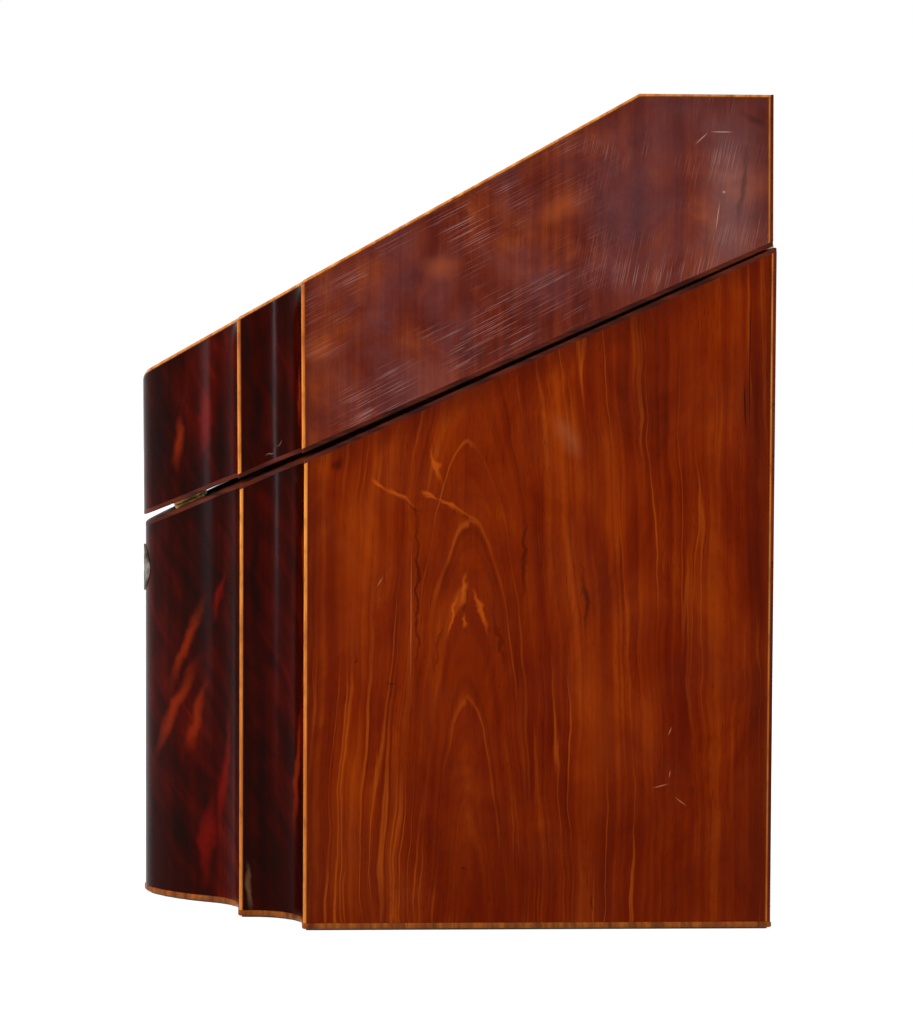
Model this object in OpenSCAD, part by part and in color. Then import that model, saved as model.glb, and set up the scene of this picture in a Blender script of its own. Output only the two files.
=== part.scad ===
// Knife box with a serpentine front and a sloping hinged lid.
// X runs across the box, Y from the front to the back and Z up, in millimetres.
// The origin is on the table, under the middle of the footprint.

/* [Carcase] */
// Width over the side veneers
box_width = 224; // [216:1:240]
// Depth of a side, from its front corner to the back
side_depth = 207; // [200:1:220]
// Height of the carcase rim at the back
rim_back_height = 302; // [295:1:310]
// Slope of the carcase rim down towards the front, in degrees
rim_angle = 24.4; // [24.3:0.1:25]

/* [Serpentine front] */
// Flat land on the front beside each corner
corner_land = 11.5; // [11.5:0.1:13]
// Radius of the hollow between the corner and the arris
cove_r = 23; // [20:0.5:24]
// Straight length of the hollow's inner side, up to the sharp arris
arris_return = 5.5; // [4:0.5:8]
// Flat width of the step between the arris and the bow
step_land = 15.8; // [14.5:0.1:18]
// Radius of the hollow at the foot of the bow
fillet_r = 26.8; // [25:0.1:28]
// Radius of the nose of the bow
nose_r = 26; // [24:0.5:27]
// Half the angle that the nose turns through
nose_angle = 35; // [33:1:37]
// Steepest slope of the bow's flank
flank_angle = 62; // [60:1:64]

/* [Lid] */
// Slope of the lid's underside, in degrees
lid_angle = 24; // [23.8:0.1:24.2]
// Height of the gap between rim and lid at the back
back_gap = 0.85; // [0.6:0.05:1.2]
// How far the worn lid sits forward of the carcase
lid_shift = 1.6; // [0:0.1:1.6]
// Forward lean of the lid's walls, in degrees
lid_lean = 0.4; // [0:0.1:1.5]
// Height of the lid's flat top above the table
lid_top = 368.3; // [362:0.1:376]
// Distance from the side's front corner back to the ridge
ridge_back = 146; // [142:0.1:155]
// Slope of the lid's front panel, in degrees
slope_angle = 29.3; // [28:0.1:30]

/* [Walls] */
// Thickness of the front and side cores
core_t = 10; // [8:0.5:10]
// Thickness of the back board
back_core_t = 10; // [8:0.5:12]
// Thickness of the face veneer
veneer_t = 1; // [0.6:0.1:1.2]
// Thickness of the back veneer
back_veneer_t = 1.2; // [0.8:0.1:1.6]
// Height of the facing glued on the rims
facing_t = 2.2; // [1.5:0.1:3]
// Thickness of the lid's slope and top boards
panel_t = 8; // [6:0.5:10]
// Thickness of the lid's cloth lining
lining_t = 0.8; // [0.5:0.1:1]

/* [Stringing] */
// Width of the square strings on the front corners and arrises
string_w = 1.7; // [1.3:0.1:2]
// Width of the strings at the back of the sides
back_string_w = 1.1; // [0.8:0.1:1.5]
// Height of the strings along the lid's top edges
top_string_w = 1.3; // [1:0.1:1.6]

/* [Base] */
// Thickness of the baize under the box
baize_t = 0.9; // [0.6:0.1:1.5]
// How far the baize stays inside the base edge
baize_inset = 1.5; // [1:0.5:4]
// Thickness of the base moulding
moulding_t = 2.6; // [2:0.1:4]
// How far the base moulding stands proud of the walls
moulding_proud = 0.5; // [0.2:0.1:1]
// Thickness of the bottom board between the walls
bottom_t = 8; // [6:0.5:10]

/* [Cutlery board] */
// Drop of the board's top face below the rim
board_drop = 12; // [10:0.5:16]
// Thickness of the cutlery board, measured upright
board_t = 8; // [6:0.5:10]
// Width of a knife or fork slot
slot_w = 9; // [8:0.5:11]
// Length of a knife or fork slot
slot_l = 24; // [20:1:28]
// Width of a spoon opening
spoon_w = 26; // [22:1:32]
// Length of a spoon opening
spoon_l = 30; // [24:1:34]
// Distance between neighbouring slots in a row
slot_pitch = 32; // [28:1:32]
// Distance between neighbouring spoon openings
spoon_pitch = 48; // [42:1:52]
// Distance between the rows of slots
row_pitch = 48; // [46:1:49]
// Width of the string inlaid round each slot
frame_w = 1.2; // [0.8:0.1:1.6]
// Depth of the string inlaid round each slot
frame_d = 0.8; // [0.5:0.1:1.2]
// Side of the square cleats under the board
cleat_w = 8; // [6:0.5:10]
// Thickness of the partitions under the board
partition_t = 4; // [3:0.5:5]

/* [Hinges] */
// Distance of each hinge from the middle of the back
hinge_x = 62; // [50:1:68]
// Length of a hinge
hinge_l = 38; // [32:1:44]
// Width of a leaf, from the back face forwards
leaf_w = 10; // [9:0.5:10.5]
// Thickness of a leaf
leaf_t = 1.4; // [1.1:0.1:1.6]
// Radius of the knuckle
knuckle_r = 2.2; // [2:0.1:2.4]
// Radius of the hinge pin
pin_r = 1.1; // [0.9:0.05:1.2]
// Distance of the pin behind the back face
pin_out = 0.9; // [0.7:0.1:1.2]

/* [Lock] */
// Height of the keyhole above the table
keyhole_z = 153; // [150:0.5:155]
// Distance of the lock's back face behind the front of the bow
lock_set = 28; // [27:0.5:29]
// Width of the lock case
case_w = 37.6; // [37:0.2:39]
// Depth of the lock case
case_d = 12; // [12:0.1:12.5]
// Thickness of the brass that the case is made of
case_t = 1.2; // [1:0.1:1.3]
// Length of the selvedge and of the link plate
plate_l = 48; // [47:1:50]
// Thickness of the selvedge and of the link plate
plate_t = 2; // [1.7:0.1:2.4]
// How far the selvedge and the link plate stand proud
plate_proud = 1.2; // [1:0.05:1.25]
// Distance of each staple from the middle
staple_x = 7; // [6.8:0.1:7.2]
// Thickness of a staple
staple_t = 2.2; // [2:0.1:2.4]
// Travel of the bolt
bolt_throw = 5; // [4.5:0.1:5]
// Height of the escutcheon
escutcheon_h = 21.8; // [18:0.2:24]
// Width of the escutcheon
escutcheon_w = 22; // [18:0.2:24]
// Thickness of the escutcheon
escutcheon_t = 0.9; // [0.6:0.1:1.2]

/* [Hidden] */
$fn = 48;
// slack of a pin in its bore, a screw in its wood and a slide on its bed
fit = 0.05;
slide_fit = 0.1;
// clearance round pieces of the other body
clear = 0.3;

half_w = box_width / 2;
wall = core_t + veneer_t;
back_wall = back_core_t + back_veneer_t;
arris_x = half_w - corner_land - cove_r;
flank_r = (arris_x - step_land - fillet_r * sin(flank_angle) - nose_r * sin(nose_angle))
    / (sin(flank_angle) - sin(nose_angle));
bow_rise = fillet_r * (1 - cos(flank_angle)) + flank_r * (cos(nose_angle) - cos(flank_angle))
    + nose_r * (1 - cos(nose_angle));
box_depth = side_depth + cove_r + arris_return + bow_rise;
y_back = box_depth / 2;
y_inner = y_back - back_wall;
y_apex = -y_back;
y_corner = y_back - side_depth;
y_step = y_corner - cove_r - arris_return;
cove_c = [half_w - corner_land, y_corner - cove_r];
nose_c = [0, y_apex + nose_r];
flank_c = nose_c + (nose_r - flank_r) * [sin(nose_angle), -cos(nose_angle)];
fillet_c = [arris_x - step_land, y_step - fillet_r];
base_top = baize_t + moulding_t;
board_floor = base_top + bottom_t;
ridge_y = y_corner + ridge_back;
roof_t = veneer_t + panel_t;
// beyond every edge of the box, for cutting shapes that end at a plane
far = 200;
tall = 420;

// rows of slots: distance of the row in front of the inner back face, slots, pitch, width, length
spoon_row = 28;
rows = [
    [spoon_row, 4, spoon_pitch, spoon_w, spoon_l],
    [spoon_row + row_pitch, 6, slot_pitch, slot_w, slot_l],
    [spoon_row + 2 * row_pitch, 6, slot_pitch, slot_w, slot_l],
    [spoon_row + 3 * row_pitch, 6, slot_pitch, slot_w, slot_l],
    [spoon_row + 4 * row_pitch, 2, slot_pitch, slot_w, slot_l]
];
slots = [for (row = rows, i = [0:row[1] - 1])
    [(i - (row[1] - 1) / 2) * row[2], y_inner - row[0], row[3], row[4]]];
// each partition stands midway between two rows
partition_y = [for (i = [0:2]) y_inner - (rows[i][0] + rows[i + 1][0]) / 2];
partition_x = half_w - wall - cleat_w;
front_partition_y = y_inner - (rows[3][0] + rows[4][0]) / 2 + 1;
front_partition_x = arris_x - wall - 2;

// hinge pin, midway between the two rim planes
pin_y = y_back + pin_out;
pin_z = (rim_z(pin_y) + lid_z(pin_y)) / 2;
knuckle_cut_r = knuckle_r + clear;
hinge_screw_in = 7;
hinge_screw_x = hinge_l / 2 - hinge_screw_in;
hinge_screw_s = -leaf_w * 0.58;
screw_r = 1.1;
screw_head_r = 2.3;
screw_l = 9;

// lock: plane of the case's back, the bolt's line in front of it, and wood and brass below the keyhole
bolt_set = 8;
case_drop = 12;
block_drop = 8;
lock_face_y = y_apex + lock_set;
lock_y = lock_face_y - bolt_set;
case_bottom = keyhole_z - case_drop;
block_bottom = case_bottom - block_drop;
lid_block_h = 18;
keyhole_r = 2.6;
keyhole_slot_w = 2.2;
keyhole_slot_l = 7;
plate_front = -5.5;
// the plates reach just past the block's back face, so that no wood is left behind them
plate_back = (lock_face_y - lock_y) / cos(rim_angle) + clear;
plate_let_in = plate_t - plate_proud;
// the screws stand midway on the plate's ears beyond the case, wholly in the bow's core
plate_screw_x = (case_w + plate_l) / 4;
plate_screw_s = -1.5;
plate_screw_r = 0.9;
plate_screw_head_r = 1.8;
plate_screw_l = 8;
// distance between the rim and the lid's underside at the lock, square to the rim
plate_gap = (lid_z(lock_y) - rim_z(lock_y)) * cos(lid_angle) / cos(rim_angle - lid_angle);
// staples and bolt, by depth under the rim: the bolt's nose runs through the staple's eye
staple_tip = -8;
staple_half = 2.4;
eye_top = -2.8;
eye_bottom = -6.2;
eye_half = 1.3;
nose_top = -3.4;
nose_bottom = -5.6;
nose_half = 0.9;
nose_gap = 0.6;
nose_reach = 0.4;
nose_l = bolt_throw + nose_reach;
post_w = 2;
bar_drop = 0.8;
bar_h = 2.5;
bar_top = staple_tip - bar_drop;
bar_bottom = bar_top - bar_h;
bar_half = 1.2;
tail_w = 7;
tail_y = [4.3, 6.3];
// the tail ends in the bar's lower edge, below the spring behind it
tail_rise = 1.7;
spring_t = 0.4;
spring_gap = 0.15;
spring_rise = 0.9;
spring_drop = 0.4;
pin_stub = 0.9;
escutcheon_pin_z = escutcheon_h / 2 - 3;
escutcheon_pin_r = 0.7;
escutcheon_pin_l = 6;

// ---- planes -------------------------------------------------------------------------------

// height of the carcase rim and of the lid's underside at y
function rim_z(y) = rim_back_height - (y_back - y) * tan(rim_angle);
function lid_z(y) = rim_back_height + back_gap - (y_back - y) * tan(lid_angle);

// height at y of the lid's slope, taken down by t square to it, and the ridge point at that depth
function slope_z(y, t) = lid_top - (ridge_y - y) * tan(slope_angle) - t / cos(slope_angle);
function ridge(t) = [ridge_y + t * tan(slope_angle / 2), lid_top - t];

// (y, z) outline under the rim: from y0 to y1, above z0, with its top drop below the rim
function under_rim(y0, y1, z0, drop) =
    [[y0, z0], [y1, z0], [y1, rim_z(y1) - drop], [y0, rim_z(y0) - drop]];
// (y, z) band that follows the rim between two drops
function rim_band(y0, y1, drop0, drop1) =
    [[y0, rim_z(y0) - drop1], [y1, rim_z(y1) - drop1], [y1, rim_z(y1) - drop0], [y0, rim_z(y0) - drop0]];
// (y, z) outline of the lid: rise above its underside, and t below its slope and top
function lid_profile(rise, t) = [
    [-far, lid_z(-far) + rise], [far, lid_z(far) + rise], [far, lid_top - t], ridge(t), [-far, slope_z(-far, t)]];
function slope_band(t0, t1) = [[-far, slope_z(-far, t0)], ridge(t0), ridge(t1), [-far, slope_z(-far, t1)]];
function top_band(t0, t1) = [ridge(t0), [far, lid_top - t0], [far, lid_top - t1], ridge(t1)];
function roof_band(t0, t1) = [
    [-far, slope_z(-far, t0)], ridge(t0), [far, lid_top - t0],
    [far, lid_top - t1], ridge(t1), [-far, slope_z(-far, t1)]];
function lid_rim_band(rise0, rise1) = [
    [-far, lid_z(-far) + rise0], [far, lid_z(far) + rise0], [far, lid_z(far) + rise1], [-far, lid_z(-far) + rise1]];

// ---- plan of the serpentine front, inset by t ----------------------------------------------

function arc(c, r, a0, a1, n) = [for (i = [0:n]) let (a = a0 + (a1 - a0) * i / n) c + r * [cos(a), sin(a)]];
function tail(pts) = [for (i = [1:len(pts) - 1]) pts[i]];
function reversed(pts) = [for (i = [len(pts) - 1:-1:0]) pts[i]];
function flipped(pts) = [for (p = reversed(pts)) [-p[0], p[1]]];
function both_halves(right) = concat(flipped(tail(right)), right);

// right half of the bow: nose, flank and the hollow at its foot
function half_bow(t) = concat(
    arc(nose_c, nose_r - t, -90, nose_angle - 90, 7),
    tail(arc(flank_c, flank_r - t, nose_angle - 90, flank_angle - 90, 6)),
    tail(arc(fillet_c, fillet_r + t, 90 + flank_angle, 90, 12)));
// past the arris return the hollow starts level with the step, and the arris point falls away
function cove_line(t) = arc(cove_c, cove_r + t, 180 - asin(max(0, t - arris_return) / (cove_r + t)), 90, 15);
function arris_point(t) = t > arris_return ? [] : [[arris_x - t, y_step + t]];
// line of the whole front, ending at end_x beside each corner
function front_line(t, end_x) = both_halves(concat(
    half_bow(t), arris_point(t), cove_line(t), [[end_x, y_corner + t]]));
function plan(t, back_t) = both_halves(concat(
    half_bow(t), arris_point(t), cove_line(t),
    [[half_w - t, y_corner + t], [half_w - t, y_back - back_t]]));
// the same outline at the veneer's back, rebated for the square strings
arris_rebate = [
    [arris_x - string_w, y_step + veneer_t], [arris_x - string_w, y_step + string_w],
    [arris_x - veneer_t, y_step + string_w]];
corner_rebate = [
    [half_w - string_w, y_corner + veneer_t], [half_w - string_w, y_corner + string_w],
    [half_w - veneer_t, y_corner + string_w]];
function core_plan() = both_halves(concat(
    half_bow(veneer_t), arris_rebate, cove_line(veneer_t), corner_rebate,
    [[half_w - veneer_t, y_back - back_veneer_t]]));
// strip between two insets of the bow, ending at x
function bow_strip(t0, t1, x) = concat(
    [[-x, y_step + t0]], both_halves(half_bow(t0)), [[x, y_step + t0], [x, y_step + t1]],
    reversed(both_halves(half_bow(t1))), [[-x, y_step + t1]]);
function wing_core_plan() = concat(
    [[arris_x - wall, y_step + veneer_t]], arris_rebate, cove_line(veneer_t), corner_rebate,
    [[half_w - veneer_t, y_corner + wall]], reversed(cove_line(wall)), [[arris_x - wall, y_step + wall]]);
function wing_veneer_plan() = concat(
    [[arris_x - veneer_t, y_step + string_w], [arris_x, y_step + string_w]], cove_line(0),
    [[half_w - string_w, y_corner], [half_w - string_w, y_corner + veneer_t]],
    reversed(cove_line(veneer_t)));

// ---- building helpers ---------------------------------------------------------------------

// carries a (y, z) outline across the box from x0 to x1
module across(x0, x1) {
    translate([x0, 0, 0]) rotate([90, 0, 90]) linear_extrude(x1 - x0) children();
}
module rect(x0, x1, y0, y1) {
    translate([x0, y0]) square([x1 - x0, y1 - y0]);
}
module block(x, y, z) {
    translate([x[0], y[0], z[0]]) cube([x[1] - x[0], y[1] - y[0], z[1] - z[0]]);
}
// carries a plan up from z0 to a plane drop below the rim
module under_rim_prism(z0, drop) {
    intersection() {
        translate([0, 0, z0]) linear_extrude(tall) children();
        across(-far, far) polygon(under_rim(-far, far, -1, drop));
    }
}
// carries a plan through the lid, leaning as its walls do
module lid_upright() {
    translate([0, y_back - lid_shift, lid_z(y_back)]) rotate([lid_lean, 0, 0])
        translate([0, -y_back, -far]) linear_extrude(2 * far) children();
}
module lid_prism(profile) {
    intersection() {
        lid_upright() children();
        across(-far, far) polygon(profile);
    }
}
module both_sides() {
    children();
    mirror([1, 0, 0]) children();
}
// frames on the rim plane: X across, Y up the slope, Z square to the rim
module at_rim(y) {
    translate([0, y, rim_z(y)]) rotate([rim_angle, 0, 0]) children();
}
module at_lid(y) {
    translate([0, y, lid_z(y)]) rotate([lid_angle, 0, 0]) children();
}
module at_link() {
    at_rim(lock_y) translate([0, 0, plate_gap]) rotate([lid_angle - rim_angle, 0, 0]) children();
}
module at_pin(x) {
    translate([x, pin_y, pin_z]) rotate([0, 90, 0]) children();
}
// wood screw with its head in the plane z = 0 and its shank down -Z
module screw_shape(r, head_r, length, slack) {
    translate([0, 0, -(head_r - r)]) cylinder(h = head_r - r, r1 = r + slack, r2 = head_r + slack);
    translate([0, 0, -length]) cylinder(h = length, r = r + slack);
}
module slotted_screw(r, head_r, length) {
    difference() {
        screw_shape(r, head_r, length, 0);
        translate([-head_r, -0.25, -0.5]) cube([2 * head_r, 0.5, 1]);
    }
}

// ---- base ---------------------------------------------------------------------------------

module base_baize() {
    color("darkolivegreen") linear_extrude(baize_t) polygon(plan(baize_inset, baize_inset));
}
module base_moulding() {
    color("sienna") translate([0, 0, baize_t]) linear_extrude(moulding_t)
        polygon(plan(-moulding_proud, -moulding_proud));
}
module bottom_board() {
    color("burlywood") translate([0, 0, base_top]) linear_extrude(bottom_t) polygon(plan(wall, back_wall));
}

// ---- carcase walls ------------------------------------------------------------------------

module side_core() {
    across(half_w - wall, half_w - veneer_t)
        polygon(under_rim(y_corner + wall, y_inner, base_top, facing_t));
}
module side_core_left() {
    color("peru") mirror([1, 0, 0]) side_core();
}
module side_core_right() {
    color("peru") side_core();
}
module back_core() {
    color("peru") difference() {
        across(-half_w + veneer_t, half_w - veneer_t)
            polygon(under_rim(y_inner, y_back - back_veneer_t, base_top, facing_t));
        lower_hinge_cuts();
    }
}
module bow_core() {
    color("peru") difference() {
        under_rim_prism(base_top, facing_t) polygon(bow_strip(veneer_t, wall, arris_x - wall));
        lock_cuts();
    }
}
module wing_core() {
    under_rim_prism(base_top, facing_t) polygon(wing_core_plan());
}
module wing_core_left() {
    color("peru") mirror([1, 0, 0]) wing_core();
}
module wing_core_right() {
    color("peru") wing_core();
}
// fills the inside of the bow's nose, back to the lock's face
module lock_block_plan() {
    intersection() {
        polygon(both_halves(half_bow(wall)));
        rect(-half_w, half_w, y_apex, lock_face_y);
    }
}
module lock_block() {
    color("tan") difference() {
        under_rim_prism(block_bottom, 0) lock_block_plan();
        lock_cuts();
    }
}

// ---- carcase faces ------------------------------------------------------------------------

module side_veneer() {
    across(half_w - veneer_t, half_w) polygon(under_rim(
        y_corner + string_w, y_back - back_veneer_t - back_string_w, base_top, facing_t));
}
module side_veneer_left() {
    color("saddlebrown") mirror([1, 0, 0]) side_veneer();
}
module side_veneer_right() {
    color("saddlebrown") side_veneer();
}
module back_veneer() {
    color("saddlebrown") difference() {
        across(-half_w, half_w) polygon(under_rim(y_back - back_veneer_t, y_back, base_top, facing_t));
        lower_hinge_cuts();
    }
}
module bow_veneer() {
    color("maroon") difference() {
        under_rim_prism(base_top, facing_t) polygon(bow_strip(0, veneer_t, arris_x - string_w));
        keyhole();
        escutcheon_pin_shapes(fit);
    }
}
module wing_veneer() {
    under_rim_prism(base_top, facing_t) polygon(wing_veneer_plan());
}
module wing_veneer_left() {
    color("maroon") mirror([1, 0, 0]) wing_veneer();
}
module wing_veneer_right() {
    color("maroon") wing_veneer();
}
// plans of the corner, arris and back strings on the right
module string_plans() {
    rect(half_w - string_w, half_w, y_corner, y_corner + string_w);
    rect(arris_x - string_w, arris_x, y_step, y_step + string_w);
    rect(half_w - veneer_t, half_w, y_back - back_veneer_t - back_string_w, y_back - back_veneer_t);
}
module edge_strings() {
    color("goldenrod") both_sides() under_rim_prism(base_top, facing_t) string_plans();
}
module rim_plan() {
    difference() {
        polygon(plan(0, 0));
        polygon(plan(wall, back_wall));
    }
}
module rim_facing() {
    color("sienna") difference() {
        intersection() {
            linear_extrude(tall) rim_plan();
            across(-far, far) polygon(rim_band(-far, far, 0, facing_t));
        }
        lock_cuts();
        lower_hinge_cuts();
    }
}

// ---- inside -------------------------------------------------------------------------------

module slot_prisms(grow) {
    for (s = slots)
        translate([s[0], s[1], board_floor]) linear_extrude(tall)
            square([s[2] + 2 * grow, s[3] + 2 * grow], center = true);
}
module board_band(drop0, drop1) {
    across(-half_w, half_w) polygon(rim_band(-far, far, drop0, drop1));
}
module cutlery_board() {
    color("chocolate") difference() {
        intersection() {
            linear_extrude(tall) difference() {
                polygon(plan(wall, back_wall));
                rect(-half_w, half_w, y_apex, lock_face_y);
            }
            board_band(board_drop, board_drop + board_t);
        }
        slot_prisms(0);
        intersection() {
            slot_prisms(frame_w);
            board_band(board_drop - 1, board_drop + frame_d);
        }
    }
}
module board_strings() {
    color("goldenrod") intersection() {
        difference() {
            slot_prisms(frame_w);
            slot_prisms(0);
        }
        board_band(board_drop, board_drop + frame_d);
    }
}
module board_cleats() {
    low = board_drop + board_t + cleat_w;
    color("burlywood") {
        both_sides() across(half_w - wall - cleat_w, half_w - wall)
            polygon(rim_band(y_corner + wall, y_inner, board_drop + board_t, low));
        across(-half_w + wall + cleat_w, half_w - wall - cleat_w)
            polygon(rim_band(y_inner - cleat_w, y_inner, board_drop + board_t, low));
    }
}
module partition(y, x) {
    across(-x, x) polygon(under_rim(y - partition_t / 2, y + partition_t / 2, board_floor, board_drop + board_t));
}
module partitions() {
    color("burlywood") {
        for (y = partition_y) partition(y, partition_x);
        partition(front_partition_y, front_partition_x);
    }
}

// ---- lock ---------------------------------------------------------------------------------

module keyhole() {
    translate([0, lock_face_y - case_t, keyhole_z]) rotate([90, 0, 0]) linear_extrude(tall) {
        circle(keyhole_r);
        rect(-keyhole_slot_w / 2, keyhole_slot_w / 2, -keyhole_slot_l, 0);
    }
}
module case_shape() {
    block([-case_w / 2, case_w / 2], [lock_face_y - case_d, lock_face_y], [case_bottom, tall]);
}
module plate_shape() {
    block([-plate_l / 2, plate_l / 2], [plate_front, plate_back], [-plate_let_in, plate_proud]);
}
module plate_screw_places() {
    for (x = [-plate_screw_x, plate_screw_x]) translate([x, plate_screw_s, 0]) children();
}
// everything that the lock needs cut in the wood
module lock_cuts() {
    case_shape();
    keyhole();
    escutcheon_pin_shapes(fit);
    at_rim(lock_y) {
        plate_shape();
        translate([0, 0, plate_proud]) plate_screw_places()
            screw_shape(plate_screw_r, plate_screw_head_r, plate_screw_l, fit);
    }
}
module lock_case() {
    in_x = case_w / 2 - case_t;
    color("darkgoldenrod") difference() {
        intersection() {
            case_shape();
            across(-half_w, half_w) polygon(under_rim(-far, far, -1, plate_let_in / cos(rim_angle)));
        }
        difference() {
            block([-in_x, in_x], [lock_face_y - case_d + case_t, lock_face_y - case_t],
                [case_bottom + case_t, tall]);
            // shelf that the bolt slides on, with a window for its tail
            at_rim(lock_y) difference() {
                block([-far, far], [-far, far], [bar_bottom - slide_fit - case_t, bar_bottom - slide_fit]);
                block([-tail_w / 2 - 1, tail_w / 2 + bolt_throw + 1], [-far, far], [-far, far]);
            }
        }
        keyhole();
    }
}
module lock_selvedge() {
    color("gold") at_rim(lock_y) difference() {
        plate_shape();
        for (x = [-staple_x, staple_x])
            block([x - staple_t / 2 - clear, x + staple_t / 2 + clear],
                [-staple_half - clear, staple_half + clear], [-plate_t, 2 * plate_t]);
        translate([0, 0, plate_proud]) plate_screw_places()
            screw_shape(plate_screw_r, plate_screw_head_r, plate_screw_l, fit);
    }
}
module lock_screws() {
    color("gold") at_rim(lock_y) translate([0, 0, plate_proud]) plate_screw_places()
        slotted_screw(plate_screw_r, plate_screw_head_r, plate_screw_l);
}
module lock_pin() {
    color("darkgoldenrod") translate([0, lock_face_y - case_t, keyhole_z]) rotate([90, 0, 0])
        cylinder(h = lock_set - case_t - 3, r = pin_stub);
}
module bolt_spring() {
    in_x = case_w / 2 - case_t;
    color("lightsteelblue") at_rim(lock_y)
        block([-in_x, in_x], [bar_half + spring_gap, bar_half + spring_gap + spring_t],
            [bar_bottom + spring_rise, bar_top - spring_drop]);
}
// one hook of the bolt, at rest just clear of the staple at x
module bolt_hook(x) {
    end = x - staple_t / 2 - nose_gap;
    block([end - nose_l - post_w, end - nose_l], [-nose_half, nose_half], [bar_bottom, nose_top]);
    block([end - nose_l - post_w, end], [-nose_half, nose_half], [nose_bottom, nose_top]);
}
module lock_bolt() {
    bar_left = -staple_x - staple_t / 2 - nose_gap - nose_l - post_w;
    tail_top = rim_z(lock_y) + (bar_bottom - 1) * cos(rim_angle);
    color("lightsteelblue") {
        at_rim(lock_y) {
            bolt_hook(-staple_x);
            bolt_hook(staple_x);
            block([bar_left, staple_x + 2], [-bar_half, bar_half], [bar_bottom, bar_top]);
        }
        difference() {
            block([-tail_w / 2, tail_w / 2], [lock_y + tail_y[0], lock_y + tail_y[1]],
                [keyhole_z + 5, tail_top + tail_rise]);
            block([-1.6, 1.6], [lock_y, lock_y + case_d], [keyhole_z, keyhole_z + 9]);
        }
    }
}
// pointed oval outline of the escutcheon, |x/a|^p + |z/b|^p = 1 with p = 1.6
function escutcheon_outline() = [for (i = [0:47]) let (a = i * 7.5)
    [escutcheon_w / 2 * sign(cos(a)) * pow(abs(cos(a)), 1.25),
     escutcheon_h / 2 * sign(sin(a)) * pow(abs(sin(a)), 1.25)]];
module escutcheon_pin_shapes(slack) {
    for (z = [-escutcheon_pin_z, escutcheon_pin_z])
        translate([0, y_apex - escutcheon_t, keyhole_z + z]) rotate([-90, 0, 0])
            cylinder(h = escutcheon_pin_l + slack, r = escutcheon_pin_r + slack);
}
module escutcheon() {
    color("silver") difference() {
        intersection() {
            translate([nose_c[0], nose_c[1], keyhole_z - escutcheon_h]) difference() {
                cylinder(h = 2 * escutcheon_h, r = nose_r + escutcheon_t);
                translate([0, 0, -1]) cylinder(h = 2 * escutcheon_h + 2, r = nose_r);
            }
            translate([0, nose_c[1], keyhole_z]) rotate([90, 0, 0])
                linear_extrude(2 * nose_r) polygon(escutcheon_outline());
        }
        keyhole();
        escutcheon_pin_shapes(fit);
    }
}
module escutcheon_pins() {
    color("silver") escutcheon_pin_shapes(0);
}

// ---- hinges -------------------------------------------------------------------------------

hinge_places = [-hinge_x, hinge_x];
knuckle_l = hinge_l / 3;

module hinge_screw_places() {
    for (x = [-hinge_screw_x, 0, hinge_screw_x]) translate([x, hinge_screw_s, 0]) children();
}
module knuckle_clearance(x0, x1, r) {
    translate([x0, pin_y, pin_z]) rotate([0, 90, 0]) cylinder(h = x1 - x0, r = r);
}
// (y, z) outline of a leaf on a plane through the top of the back, from n0 to n1 square to the plane
function leaf_outline(z, angle, n0, n1) = [for (p = [[-leaf_w, n0], [pin_out, n0], [pin_out, n1], [-leaf_w, n1]])
    [y_back + p[0] * cos(angle) - p[1] * sin(angle), z + p[0] * sin(angle) + p[1] * cos(angle)]];
// the leaf is carried across like its knuckles, so that their ends are level
module leaf(x, outline) {
    across(x - hinge_l / 2, x + hinge_l / 2) polygon(outline);
}
module lower_hinge_cuts() {
    for (x = hinge_places) {
        translate([x, 0, 0]) at_rim(y_back) {
            block([-hinge_l / 2, hinge_l / 2], [-leaf_w, leaf_w], [-leaf_t, 2 * leaf_t]);
            hinge_screw_places() screw_shape(screw_r, screw_head_r, screw_l, fit);
        }
        knuckle_clearance(x - hinge_l / 2 - clear, x + hinge_l / 2 + clear, knuckle_cut_r);
    }
}
module upper_hinge_cuts() {
    for (x = hinge_places) {
        translate([x, 0, 0]) at_lid(y_back) {
            block([-hinge_l / 2, hinge_l / 2], [-leaf_w, leaf_w], [-2 * leaf_t, leaf_t]);
            hinge_screw_places() mirror([0, 0, 1]) screw_shape(screw_r, screw_head_r, screw_l, fit);
        }
        knuckle_clearance(x - hinge_l / 2 - clear, x + hinge_l / 2 + clear, knuckle_cut_r);
    }
}
module hinge_lower_leaves() {
    color("darkgoldenrod") for (x = hinge_places) difference() {
        union() {
            leaf(x, leaf_outline(rim_z(y_back), rim_angle, -leaf_t, 0));
            knuckle_clearance(x - hinge_l / 2, x + hinge_l / 2, knuckle_r);
        }
        knuckle_clearance(x - knuckle_l / 2 - 0.1, x + knuckle_l / 2 + 0.1, knuckle_cut_r);
        knuckle_clearance(x - hinge_l, x + hinge_l, pin_r + fit);
        translate([x, 0, 0]) at_rim(y_back) hinge_screw_places()
            screw_shape(screw_r, screw_head_r, screw_l, fit);
    }
}
module hinge_upper_leaves() {
    color("darkgoldenrod") for (x = hinge_places) difference() {
        union() {
            leaf(x, leaf_outline(lid_z(y_back), lid_angle, 0, leaf_t));
            knuckle_clearance(x - knuckle_l / 2, x + knuckle_l / 2, knuckle_r);
        }
        for (side = [-1, 1])
            knuckle_clearance(x + side * hinge_l / 3 - knuckle_l / 2 - 0.1,
                x + side * hinge_l / 3 + knuckle_l / 2 + 0.1, knuckle_cut_r);
        knuckle_clearance(x - hinge_l, x + hinge_l, pin_r + fit);
        translate([x, 0, 0]) at_lid(y_back) hinge_screw_places()
            mirror([0, 0, 1]) screw_shape(screw_r, screw_head_r, screw_l, fit);
    }
}
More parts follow.
